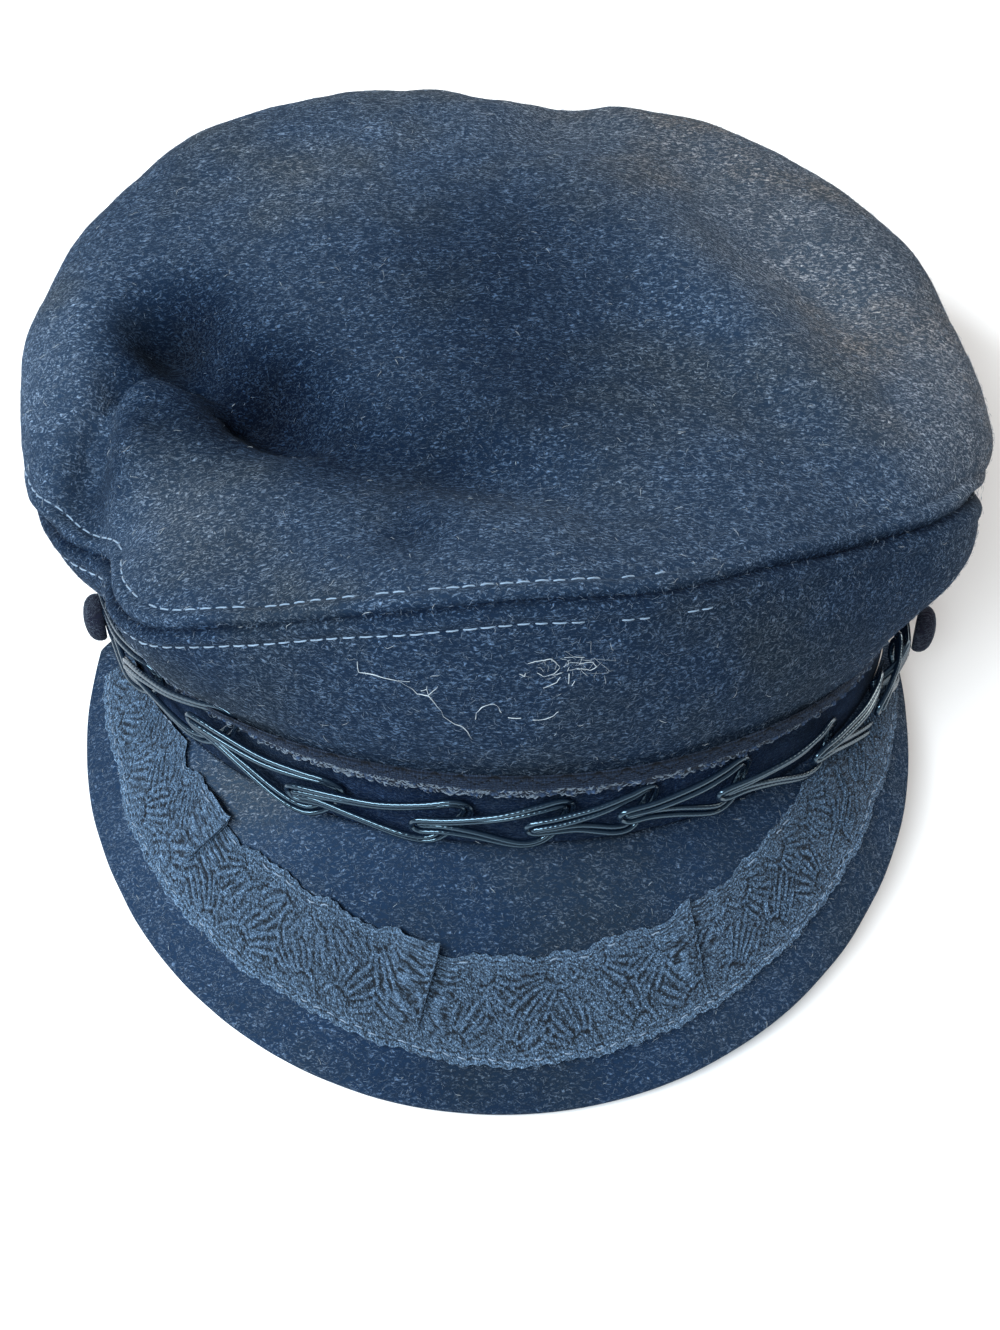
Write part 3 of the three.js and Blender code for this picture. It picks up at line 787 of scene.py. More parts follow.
def woven(name, dark, pale, thread_size, roughness, shades):
    """Woven or plaited yarn: crossing threads, with painted shade where they dip. The mesh
    attribute of floats is 1 on the pattern's long floating threads and 0 in the ground, and lower
    where shade is painted in the pattern's grooves; shades says how dark the ground is and how pale
    the floats are."""
    material, tree, shader = new_material(name)
    pattern = add_node(tree, "Group", {
        "Dark": (*dark, 1), "Pale": (*pale, 1), "Thread": thread_size,
    }, node_tree=yarn_pattern)
    read_floats_and_shade = add_node(tree, "Attribute", {}, attribute_name="floats_and_shade").outputs["Fac"]
    gain = ranged(tree, read_floats_and_shade, 0.0, 1.0, *shades)
    color = blended(tree, 1.0, pattern.outputs["Color"], gain, "MULTIPLY")
    warm_lit = add_node(tree, "Group", {"Color": color}, node_tree=warm_light).outputs["Color"]
    relief = add_node(tree, "Bump", {
        "Strength": 0.9, "Distance": YARN_RELIEF, "Height": pattern.outputs["Height"],
    })
    fill_sockets(tree, shader, {
        "Base Color": warm_lit,
        "Roughness": roughness,
        "Specular IOR Level": 0.15,
        "Sheen Weight": 0.06,
        "Sheen Tint": (0.6, 0.75, 1.0, 1),
        "Normal": relief.outputs["Normal"],
    })
    return material


trim_cloth = woven(
    "woven_trim", (0.005, 0.012, 0.028), (0.033, 0.058, 0.108), 0.5, 0.9, (0.1, 3.2))
trim = body_mesh("band_trim_braid", lay_out(*trim_rows, *trim_back), "loop", trim_cloth)
back_floats = [0 * along_trim for _ in trim_back]
store_on_points(trim, "floats_and_shade", lay_out(*trim_floats_and_shade, *back_floats).ravel())
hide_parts("band_trim")


# ---- Topstitching ------------------------------------------------------------------------------
# Two rows of pale grey-blue sewing thread, one on each side of the rim seam, that hold the
# seam allowances down. Each stitch is a short bar with both ends sunk in the cloth.
STITCH_LENGTH = 3.1
STITCH_PITCH = 3.75
STITCH_THICK = 0.42
# Along each stitch, and how far it stands out there in thicknesses of its thread.
STITCH_SHARES = np.array([0, 0.14, 0.5, 0.86, 1.0])
STITCH_BOW = np.array([-0.9, 0.25, 0.62, 0.25, -0.9])
# Towards the wearer's left most of the thread has sunk into the cloth.
SINKS_FROM, SINKS_OVER = 12.0, 45.0


def tubes(name, strands, material, sides):
    """One piece made of tubes. Each strand is (points, radii, up, closed): its centre line,
    its radius at each point, the direction its sections stand in, and whether it's a ring."""
    points = []
    faces = []
    start = 0
    around = 2 * math.pi * np.arange(sides) / sides
    for line, radii, up, closed in strands:
        line = np.asarray(line, float)
        count = len(line)
        if closed:
            ahead = unit(np.roll(line, -1, axis=0) - np.roll(line, 1, axis=0))
        else:
            ahead = unit(np.gradient(line, axis=0))
        sideways = unit(np.cross(ahead, np.broadcast_to(up, line.shape)))
        upright = np.cross(sideways, ahead)
        radii = np.broadcast_to(radii, (count,))[:, None, None]
        ring = (sideways[:, None, :] * np.cos(around)[None, :, None]
                + upright[:, None, :] * np.sin(around)[None, :, None])
        points.append((line[:, None, :] + radii * ring).reshape(-1, 3))
        index = start + np.arange(count * sides).reshape(count, sides)
        low = index if closed else index[:-1]
        high = np.roll(index, -1, axis=0) if closed else index[1:]
        quads = np.stack([low, high, np.roll(high, -1, axis=1), np.roll(low, -1, axis=1)], -1)
        faces.extend(quads.reshape(-1, 4).tolist())
        if not closed:
            faces.append(index[0].tolist())
            faces.append(index[-1][::-1].tolist())
        start += count * sides
    return mesh_piece(name, np.concatenate(points), faces, material)


def thread(name, color, roughness, sheen=0.2):
    """Sewing thread or loose hair, a little mottled."""
    material, tree, shader = new_material(name)
    mottle = noise(tree, place_on_cap(tree), 420.0)["Fac"]
    dark, pale = ((*[share * value for value in color], 1) for share in (0.55, 1.3))
    fill_sockets(tree, shader, {
        "Base Color": blended(tree, mottle, dark, pale),
        "Roughness": roughness,
        "Sheen Weight": sheen,
    })
    return material


def length_along(line):
    """How far along a line of points each of them lies."""
    steps = np.linalg.norm(np.diff(line, axis=0), axis=-1)
    return np.concatenate([[0], np.cumsum(steps)])


def read_off(line, reach, places):
    """The points of a line at some places along it, or values that go with its points."""
    return np.stack([np.interp(places, reach, line[:, axis]) for axis in range(3)], -1)


def row_of_stitches(line, normals, pitch, length, thick, seed, skip):
    """Strands for a row of stitches along a line of points, each a little off its place."""
    chance = np.random.default_rng(seed)
    reach = length_along(line)
    strands = []
    for start in np.arange(0, reach[-1] - length, pitch):
        if chance.uniform() < skip:
            continue
        begin = start + chance.uniform(-0.15, 0.15)
        places = begin + length * chance.uniform(0.88, 1.06) * STITCH_SHARES
        places = np.clip(places, 0, reach[-1])
        lean = read_off(normals, reach, places)
        sunk = chance.uniform(-0.3, 0.12)
        bar = read_off(line, reach, places) + lean * ((STITCH_BOW + sunk) * thick)[:, None]
        strands.append((bar, thick / 2, lean.mean(0), False))
    return strands


def row_beside_rim(surface, normal, distance, away):
    """The line on a panel that runs at one distance from the rim."""
    line = []
    lean = []
    for station in range(surface.shape[1]):
        order = np.argsort(distance[:, station])
        place = distance[order, station]
        line.append(read_off(surface[order, station], place, away))
        lean.append(read_off(normal[order, station], place, away))
    line.append(line[0])
    lean.append(lean[0])
    return np.array(line), np.array(lean)


stitch_thread = thread("topstitch_thread", (0.16, 0.24, 0.34), 0.6)
for name, surface, lean, distance, seed in (
    ("upper_topstitching", top_out, top_normal, top_from_rim, 41),
    ("lower_topstitching", side_out, side_normal, side_from_rim, 42),
):
    line, lean = row_beside_rim(surface, lean, distance, WELT)
    row = row_of_stitches(line, lean, STITCH_PITCH, STITCH_LENGTH, STITCH_THICK, seed, 0.04)
    chance = np.random.default_rng(seed + 10)
    shown = []
    for stitch in row:
        middle_x = stitch[0][2, 0]
        if chance.uniform() > np.clip((middle_x - SINKS_FROM) / SINKS_OVER, 0, 1):
            shown.append(stitch)
    tubes(name, shown, stitch_thread, 6)


# ---- Peak --------------------------------------------------------------------------------------
# Stiff board covered in the cap's wool, sewn under the band. It slopes down to the table,
# arches a little and has a rolled edge.
PEAK_THICK = 3.5
PEAK_HALF_WIDTH = 102.5
PEAK_MIDDLE = (-2.5, -46.0)
PEAK_REACH = 103.5
PEAK_END_SWEEP = 100.0
PEAK_ROOT_TURN = 78.0
PEAK_ROOT_RISE = 3.0
PEAK_EDGE_RISE = 2.4
PEAK_END_RISE = 16.0
PEAK_ARCH = 3.0
# Painted light and shade on the peak, paler where the light falls and darker elsewhere: x, y,
# radius, gain
PEAK_LIGHT_AND_SHADE = [(-64, -76, 24, 1.7), (-5, -148, 34, 0.72), (40, -95, 40, 0.95)]


def peak_root(sweep):
    turn = sweep * PEAK_ROOT_TURN / PEAK_END_SWEEP
    root = band_face(turn, 0 * turn) + out_of_band(turn) * SEAM_GAP
    root[..., 2] += PEAK_ROOT_RISE
    return root


def peak_edge(sweep):
    a = np.radians(sweep)
    climb = (1 - np.cos(a)) / (1 - math.cos(math.radians(PEAK_END_SWEEP)))
    return np.stack([
        PEAK_MIDDLE[0] + PEAK_HALF_WIDTH * np.sin(a),
        PEAK_MIDDLE[1] - PEAK_REACH * np.cos(a),
        PEAK_EDGE_RISE + PEAK_END_RISE * climb,
    ], -1)


def peak_span(sweep):
    return np.linalg.norm(peak_edge(sweep) - peak_root(sweep), axis=-1)


def peak_top(sweep, out):
    """The peak's upper face, from its root under the band (out = 0) to its edge."""
    root = peak_root(sweep)
    arch = PEAK_ARCH * np.minimum(1, peak_span(sweep) / 40) * 4 * out * (1 - out)
    point = root + (peak_edge(sweep) - root) * out[..., None]
    point[..., 2] += arch
    return point


def peak_normal(sweep, out):
    along = peak_top(sweep + 0.5, out) - peak_top(sweep - 0.5, out)
    across = peak_top(sweep, out + 0.01) - peak_top(sweep, out - 0.01)
    normal = np.cross(along, across)
    return unit(normal * np.sign(normal[..., 2:]))


PEAK_STATIONS = 300
PEAK_ROWS = 44
OFF_TABLE = 0.05
sweeps = np.linspace(-PEAK_END_SWEEP, PEAK_END_SWEEP, PEAK_STATIONS)
spans = peak_span(sweeps)
roll = np.minimum(PEAK_THICK / 2, 0.4 * spans)
last_out = 1 - roll / spans
peak_turned = sweeps[None, :] + np.zeros((PEAK_ROWS, 1))
peak_outs = last_out[None, :] * np.linspace(0, 1, PEAK_ROWS)[:, None]
peak_smooth = peak_top(peak_turned, peak_outs)
peak_normals = peak_normal(peak_turned, np.clip(peak_outs, 0.02, 0.98))
peak_surface = peak_smooth + peak_normals * (0.18 * soft_lumps(peak_smooth, 16, 51))[..., None]
edge_normal = peak_normals[-1]
outward = peak_edge(sweeps) - peak_root(sweeps)
outward = unit(outward - edge_normal * (outward * edge_normal).sum(-1, keepdims=True))
middle = peak_surface[-1] - edge_normal * (PEAK_THICK / 2)
peak_rings = list(peak_surface)
for turned in np.radians(np.arange(15, 180, 15)):
    around_edge = edge_normal * (PEAK_THICK / 2 * math.cos(turned))
    peak_rings.append(middle + around_edge + outward * (roll * math.sin(turned))[:, None])
under = peak_surface - peak_normals * PEAK_THICK
under[0] = peak_surface[0] - np.array([0, 0, PEAK_THICK * 1.1])
peak_rings.extend(under[::-1][::4])
peak_rings.append(under[0])
# One more ring eases the turn from the face into the rolled edge.
peak_rings.insert(PEAK_ROWS, (peak_rings[PEAK_ROWS - 1] + peak_rings[PEAK_ROWS]) / 2)
peak_sections = np.array(peak_rings).transpose(1, 0, 2)
peak_sections[..., 2] = np.maximum(peak_sections[..., 2], OFF_TABLE)
peak_wool = wool("peak_wool", (0.009, 0.022, 0.049), (0.098, 0.160, 0.265), 0.85, 0.05, "painted_light")
peak = body_mesh("peak_board", peak_sections, "point", peak_wool)
store_light_and_shade(peak, peak_sections.reshape(-1, 3), 1.0, PEAK_LIGHT_AND_SHADE)
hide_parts("peak")


# ---- Peak ribbon -------------------------------------------------------------------------------
# Woven ribbon with raised leaf sprays, stitched round the peak. It's cut straight, so it
# takes the curve with four tucks: deep at its inner edge, gone before the outer edge.
RIBBON_WIDTH = 24.0
RIBBON_THICK = 0.9
RIBBON_SWEEP = 92.0
RIBBON_STATIONS = 1050
RIBBON_ROWS = 84
# Wool left bare outside the ribbon: by sweep along the peak's edge.
BARE_SWEEP = [-92, -76, -64, -28, 0, 28, 46, 68, 88, 92]
BARE_EDGE = [7, 12.3, 11.6, 13, 10.2, 11.5, 13, 13.5, 8.6, 8]
# Tucks: where they are along the peak's edge, how far they slant over the ribbon's width,
# how much cloth is folded in, how high they stand, and the share of the width they reach.
TUCKS = [(-50.0, -4.0, 5.6, 2.3, 0.68), (-9.5, 0.0, 5.4, 2.1, 0.88),
         (30.0, 3.0, 5.0, 2.0, 0.82), (65.0, -1.5, 3.6, 1.5, 0.62)]
TUCK_SPAN = 6.5
TUCK_LAP = 2.6
# How much of the ribbon's ground is covered by floating threads.
GROUND_FLOATS = 0.36
BORDER_WIDTH = 3.4
BORDER_RIB_PITCH = 0.95

fine = np.linspace(-RIBBON_SWEEP, RIBBON_SWEEP, 2001)
fine_bare = np.interp(fine, BARE_SWEEP, BARE_EDGE)
fine_line = peak_top(fine, 1 - (fine_bare + RIBBON_WIDTH * 0.4) / peak_span(fine))
fine_length = length_along(fine_line)
RIBBON_LENGTH = fine_length[-1]


def leaf_sprays(length, width, seed):
    """Raised strokes of the ribbon's pattern: fans of long narrow leaves that spring by
    turns from one border and the other, with thin stems between them. A stroke is a line
    of points (along, across) with a height and half width."""
    pick = np.random.default_rng(seed)
    strokes = []
    along = -2.0
    side = 1
    while along < length + 4:
        base = np.array([along, width * (0.5 - side * pick.uniform(0.20, 0.30))])
        lean = pick.uniform(28, 62) if pick.uniform() < 0.7 else pick.uniform(118, 150)
        for leaf in range(-3, 4):
            a = math.radians(side * (lean + leaf * pick.uniform(6, 11)))
            ahead = np.array([math.cos(a), math.sin(a)])
            sideways = np.array([-ahead[1], ahead[0]])
            foot = base + leaf * 0.95 * np.array([-math.sin(a), side * math.cos(a) * side]) * side
            reach = pick.uniform(6.5, 10.5) * (1 - 0.09 * abs(leaf))
            bow = side * 0.05 * reach * leaf / 3 + 0.35 * pick.normal()
            t = np.linspace(0.05, 1, 9)[:, None]
            line = foot + t * reach * ahead + 4 * t * (1 - t) * bow * sideways
            strokes.append((line, pick.uniform(0.3, 0.45), pick.uniform(0.3, 0.42)))
        heading = math.radians(side * (lean + 180))
        t = np.linspace(0, 1, 8)[:, None]
        stem = np.array([math.cos(heading), 0.35 * math.sin(heading)])
        curve = np.array([0.25, side * 2.2])
        strokes.append((base + t * 9.0 * stem + 4 * t * (1 - t) * curve, 0.3, 0.3))
        along += pick.uniform(6.0, 8.0)
        side = -side
    return strokes


def pressed_pattern(along, across, strokes, width):
    """Height of the woven pattern at each place on the flat ribbon, and how much of the place is
    covered by the pattern's floating threads, lowered as painted shade in the trenches beside the
    leaves and between the border ribs."""
    height = np.zeros(along.shape)
    floats_and_shade = np.full(along.shape, GROUND_FLOATS)
    speckle = np.random.default_rng(69).normal(size=along.shape)
    for line, tall, half in strokes:
        near_along = (along[:, 0] > line[:, 0].min() - 2) & (along[:, 0] < line[:, 0].max() + 2)
        near_across = (across[0] > line[:, 1].min() - 2) & (across[0] < line[:, 1].max() + 2)
        if not near_along.any() or not near_across.any():
            continue
        window = np.ix_(near_along, near_across)
        gap, _, _ = beside_line(along[window], across[window], line.tolist())
        from_base = np.hypot(along[window] - line[0, 0], across[window] - line[0, 1])
        # Short floats cross the leaf from one edge to the other.
        ribbed = 0.72 + 0.28 * np.sin(2 * math.pi * from_base / 0.7)
        top = hump(gap, half)
        trench = hump(gap - half - 0.5, 0.3)
        ridge = tall * top * ribbed - 0.6 * tall * trench
        height[window] = np.where(np.abs(ridge) > np.abs(height[window]), ridge, height[window])
        covered = np.maximum(floats_and_shade[window], GROUND_FLOATS + 0.3 * top * ribbed)
        # Painted shade: the trench beside a leaf is drawn darker.
        bare = floats_and_shade[window] - 0.24 * trench * (floats_and_shade[window] < 0.42)
        floats_and_shade[window] = np.where(top > 0.3, covered, bare)
    from_edge = np.minimum(across, width - across)
    inside = np.clip((from_edge - 2.6) / 1.2, 0, 1)
    height = height * inside
    floats_and_shade = GROUND_FLOATS + (floats_and_shade - GROUND_FLOATS) * inside
    # Ribs run along both borders, and a thicker cord along each edge. Their paleness follows the
    # ribs, as painted shade between them.
    ribs = np.cos(2 * math.pi * from_edge / BORDER_RIB_PITCH + 0.5 * uneven(along, 8, 61))
    ribs = ribs * np.exp(-(from_edge / BORDER_WIDTH) ** 6)
    edge_cord = 0.25 * hump(from_edge - 0.45, 0.4)
    height = height + 0.16 * ribs + edge_cord
    floats_and_shade = floats_and_shade + 0.26 * ribs + edge_cord
    broken = np.sin(2 * math.pi * (along + 0.4 * across) / 0.95 + uneven(across, 3, 62))
    broken = broken * np.sin(2 * math.pi * (across - 0.3 * along) / 0.85 + uneven(along, 5, 68))
    floats_and_shade = floats_and_shade + 0.14 * broken + 0.3 * speckle
    return height + (0.1 * broken + 0.06 * speckle) * inside, np.clip(floats_and_shade, 0, 1)


# Flat places first: along the cloth, and across it from the inner to the outer edge.
cloth_along = np.linspace(0, RIBBON_LENGTH, RIBBON_STATIONS)[:, None] + np.zeros((1, RIBBON_ROWS))
cloth_across = np.linspace(0, RIBBON_WIDTH, RIBBON_ROWS)[None, :] + np.zeros((RIBBON_STATIONS, 1))
raised, floats_and_shade = pressed_pattern(
    cloth_along, cloth_across, leaf_sprays(RIBBON_LENGTH, RIBBON_WIDTH, 63), RIBBON_WIDTH)
# Puckers fan out from the gathered inner edge.
pucker_reach = np.clip(1 - cloth_across / 16, 0, 1) ** 1.5
raised = raised + 0.35 * pucker_reach * uneven(cloth_along + 0.25 * cloth_across, 6, 64)
raised = raised + 0.25 * uneven(cloth_along - 0.5 * cloth_across, 17, 65)

shift = np.zeros(cloth_along.shape)
lifted = np.zeros(cloth_along.shape)
drawn_in = np.zeros(cloth_along.shape)
for tuck_sweep, slant, folded, stands, share in TUCKS:
    centre = np.interp(tuck_sweep, fine, fine_length) - TUCK_LAP
    slant = slant * RIBBON_LENGTH / (2 * RIBBON_SWEEP)
    slanted = centre + slant * (cloth_across / RIBBON_WIDTH - 0.5)
    fade = np.clip(1 - cloth_across / (RIBBON_WIDTH * share), 0, 1) ** 0.6
    # Over one span on each side of the tuck the cloth doubles back under itself.
    v = (cloth_along - slanted) / TUCK_SPAN
    inside = np.abs(v) < 1
    shift = shift - np.where(inside, folded * fade * np.sin(math.pi * v), 0)
    falls = 1 / (1 + np.exp((v + 0.12) * 13))
    rises = 1 / (1 + np.exp(-(v + 1.25) * 4.5))
    lifted = lifted + stands * fade ** 0.7 * falls * rises
    drawn_in = drawn_in + fade ** 3 * (1.6 * hump(v + 0.35, 0.45) - 1.3 * hump(v - 0.9, 0.5))

sweep = np.interp(cloth_along + shift, fine_length, fine)
bare = np.interp(sweep, BARE_SWEEP, BARE_EDGE)
scallop = 0.22 * np.cos(2 * math.pi * cloth_along / 3.2 + uneven(cloth_along, 9, 60))
scallop = scallop + 0.3 * uneven(cloth_along, 7, 66)
inner_wave = 0.75 * uneven(cloth_along, 8, 67)
to_edge = cloth_across / RIBBON_WIDTH
off_outer = bare + RIBBON_WIDTH - cloth_across
off_outer = off_outer - scallop * np.clip(2 * to_edge - 1, 0, 1) ** 2
off_outer = off_outer + (scallop + inner_wave + drawn_in) * np.clip(1 - 2 * to_edge, 0, 1) ** 2
ribbon_out = np.maximum(0.05, 1 - off_outer / peak_span(sweep))
ribbon_normal = peak_normal(sweep, np.clip(ribbon_out, 0.03, 0.97))
seat = peak_top(sweep, ribbon_out)
ribbon_face = seat + ribbon_normal * (SEAM_GAP + RIBBON_THICK + raised + lifted)[..., None]
ribbon_back = seat + ribbon_normal * (0.1 + np.maximum(0, lifted - 0.3))[..., None]
ribbon_back = ribbon_back[:, ::-11]
ribbon_rings = np.concatenate([ribbon_face, ribbon_back], axis=1)
ribbon_cloth = woven(
    "woven_ribbon", (0.014, 0.030, 0.056), (0.210, 0.332, 0.486), 0.36, 0.7, (0.1, 2.1))
ribbon = body_mesh("leaf_ribbon", ribbon_rings, "point", ribbon_cloth)
# Painted light: the ribbon is drawn paler towards the wearer's right, where the light falls.
floats_and_shade = floats_and_shade * (1 + 0.35 * np.clip((-ribbon_face[..., 0] - 45) / 40, 0, 1))
back_floats = np.full((RIBBON_STATIONS, ribbon_back.shape[1]), 0.5)
point_floats = np.concatenate([floats_and_shade, back_floats], axis=1).ravel()
store_on_points(ribbon, "floats_and_shade", np.concatenate([point_floats, [0.5, 0.5]]))
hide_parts("peak_ribbon")

# Running stitches that hold the ribbon down, close to each edge.
ribbon_thread = thread("ribbon_thread", (0.13, 0.19, 0.27), 0.6)
held = []
for row, seed, skipped in ((RIBBON_ROWS - 6, 71, 0.2), (6, 72, 0.7)):
    held.extend(row_of_stitches(
        ribbon_face[:, row], ribbon_normal[:, row], 3.6, 2.2, 0.34, seed, skipped))
tubes("ribbon_stitches", held, ribbon_thread, 6)


# ---- Soutache braid ----------------------------------------------------------------------------
# A chain of satin cord loops lies round the front of the band. Each loop is flat two-ribbed
# cord: it comes up through the loop before it, and the next loop comes up through its end.

# Loop starts: turn, rise above the band's foot, distance out of the band.
LOOP_STARTS = [(-80, 15.5, 5.8), (-63.0, 15.5, 5.4), (-45.3, 22.0, 5.6), (-28.75, 15.2, 5.4),
               (-11.75, 15.0, 5.3), (2.5, 15.8, 5.4), (14.3, 17.6, 5.4), (27.8, 16.8, 5.4),
               (44.3, 12.0, 5.5), (59.5, 8.0, 6.2), (69.0, 9.8, 6.4)]
# One loop: share of the way to the next start, rise and depth against the line of starts.
LOOP_SHAPE = [(-0.03, 0.0, 0.3), (0.03, 1.3, 0.4), (0.30, 2.3, 0.1), (0.7, 3.3, -0.6),
              (1.03, 4.5, -1.8), (1.24, 5.0, -2.9), (1.34, 2.4, -3.7), (1.28, -2.2, -3.6),
              (1.18, -5.6, -2.4), (1.05, -7.0, -1.2), (0.86, -6.0, -0.5), (0.5, -3.1, -0.6),
              (0.22, -1.3, -0.2), (0.03, -1.3, 0.2)]
LOOP_POINTS = 250
RIB_RADIUS = 0.72
RIB_APART = 1.75
RIB_TWISTS = 62


def braid_place(turn, rise, out):
    """A point in front of the band: its turn, rise above the band's foot, distance out."""
    return band_face(turn, rise / BAND_HEIGHT) + out_of_band(turn) * out[..., None]


def closed_curve(knots, count):
    """A smooth ring of evenly spaced points through the knots."""
    knots = np.asarray(knots, float)
    total = len(knots)
    at = np.linspace(0, total, 40 * total, endpoint=False)
    i = at.astype(int)
    u = (at - i)[:, None]
    a, b, c, d = (knots[(i + offset) % total] for offset in (-1, 0, 1, 2))
    line = b + 0.5 * u * (c - a + u * (2 * a - 5 * b + 4 * c - d + u * (3 * (b - c) + d - a)))
    line = np.vstack([line, line[0]])
    reach = length_along(line)
    return read_off(line, reach, np.linspace(0, reach[-1], count, endpoint=False))


satin, satin_tree, satin_shader = new_material("satin_cord")
winding = noise(satin_tree, place_on_cap(satin_tree), 900.0)["Fac"]
relief = add_node(satin_tree, "Bump", {"Strength": 0.25, "Distance": 0.0001, "Height": winding})
fill_sockets(satin_tree, satin_shader, {
    "Base Color": blended(satin_tree, winding, (0.001, 0.003, 0.008, 1), (0.006, 0.013, 0.026, 1)),
    "Roughness": 0.18,
    "Specular IOR Level": 0.95,
    "Specular Tint": (0.5, 0.8, 1.0, 1),
    "Normal": relief.outputs["Normal"],
})

wobble = np.random.default_rng(81)
starts = np.array(LOOP_STARTS)
ribs = []
for first, following in zip(starts[:-1], starts[1:]):
    knots = []
    pitch = following - first
    # Short loops are flatter.
    squeeze = 1.0 if pitch[0] > 12 else 0.85
    for share, rise, depth in LOOP_SHAPE:
        turn, level, out = first + share * pitch
        knots.append(braid_place(
            turn + wobble.normal(0, 0.12),
            level + squeeze * rise + wobble.normal(0, 0.18),
            np.maximum(RIB_RADIUS + 0.5, out + depth),
        ))
    line = closed_curve(knots, LOOP_POINTS)
    ahead = np.roll(line, -1, axis=0) - np.roll(line, 1, axis=0)
    outward = out_of_band(np.degrees(np.arctan2(line[:, 0], -line[:, 1])))
    beside = unit(np.cross(ahead, outward))
    run = np.arange(LOOP_POINTS) / LOOP_POINTS * 2 * math.pi
    # The flat cord rolls a little on its way round the loop.
    tilt = 0.35 * np.sin(run + wobble.uniform(0, 6.3))
    beside = beside * np.cos(tilt)[:, None] + outward * np.sin(tilt)[:, None]
    for sign in (-1, 1):
        beads = RIB_RADIUS * (1 + 0.03 * np.sin(run * RIB_TWISTS + sign))
        ribs.append((line + sign * beside * RIB_APART / 2, beads, outward, True))
braid = tubes("soutache_chain", ribs, satin, 8)
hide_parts("soutache_braid")


# At the wearer's left end the chain runs into a flat ribbed strap that goes under the button.
STRAP_THICK = 1.3
STRAP_RIBS = 5
STRAP_SIDES = 60
STRAP_TURNS = (62, 76)
strap_turns = np.linspace(*STRAP_TURNS, 34)
strap_width = np.interp(strap_turns, [62, 70, 76], [4.5, 7.5, 8.0])
strap_rise = np.interp(strap_turns, [62, 70, 76], [9.5, 11.5, 11.5])
strap_out = np.interp(strap_turns, [62, 67, 71, 76], [2.2, 5.4, 6.2, 4.2])
strap_rings = []
for a in 2 * math.pi * np.arange(STRAP_SIDES) / STRAP_SIDES:
    across = 0.5 * math.copysign(abs(math.cos(a)) ** 0.6, math.cos(a))
    out = 0.5 * STRAP_THICK * math.copysign(abs(math.sin(a)) ** 0.8, math.sin(a))
    out = out * (1 + 0.45 * math.cos(2 * math.pi * STRAP_RIBS * across))
    strap_rings.append(braid_place(strap_turns, strap_rise + strap_width * across, strap_out + out))
strap = body_mesh("soutache_strap", lay_out(*strap_rings), "point", satin)


# ---- Side buttons ------------------------------------------------------------------------------
# A small dome covered in dark cloth is sewn to the band at each end of the braid and holds
# it down. The cloth is a very little puckered towards the middle of the dome.
BUTTON_SIDES = 48
BUTTON_PUCKERS = 9
BUTTON_PUCKER_DEEP = 0.02
# The dome from its seat to its middle: share of the radius, height.
BUTTON_DOME = [(0.9, 0), (0.98, 0.6), (1.0, 1.5), (0.97, 2.4), (0.88, 3.3), (0.72, 4.1),
               (0.5, 4.6), (0.25, 4.9), (0.05, 5.0)]
BUTTON_HALF_THICK = 2.4
UPRIGHT = np.array([0, 0, 1.0])
button_cloth = wool("button_cloth", (0.008, 0.010, 0.02), (0.04, 0.045, 0.07), 0.5, 0.15)
for name, node in (("left_button", "side_button_left"), ("right_button", "side_button_right")):
    low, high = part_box(node)
    middle = (np.array([low[axis] + high[axis] for axis in range(3)]) / 2 - OPENING) / MM
    out = out_of_band(np.degrees(np.arctan2(middle[0], -middle[1])))
    radius = (high.z - low.z) / MM / 2
    seat = middle - out * BUTTON_HALF_THICK
    a = 2 * math.pi * np.arange(BUTTON_SIDES) / BUTTON_SIDES
    round_seam = np.cos(a)[:, None] * np.cross(UPRIGHT, out) + np.sin(a)[:, None] * UPRIGHT
    rings = []
    for reach, height in BUTTON_DOME:
        gathers = 1 + BUTTON_PUCKER_DEEP * np.cos(BUTTON_PUCKERS * a) * (1 - reach)
        rings.append(seat + out * height + radius * reach * gathers[:, None] * round_seam)
    button = body_mesh(name, np.array(rings), "point", button_cloth)
    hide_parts(node)


# ---- Nap and lint ------------------------------------------------------------------------------
# Loose hairs stand on all the brushed wool, and pale lint has caught on it: long hairs, a
# wandering thread on the front and a small tangle beside it.

# Kinds of hair: shortest, longest, thickness, lift off the cloth, curl.
NAP = (0.8, 2.4, 0.075, 0.3, 0.35)
PEAK_NAP = (0.6, 1.7, 0.07, 0.2, 0.35)
LINT = (0.8, 3.2, 0.11, 0.5, 0.5)
PEAK_LINT = (0.8, 2.4, 0.10, 0.3, 0.5)
TANGLE = (1.2, 4.0, 0.10, 0.5, 1.1)


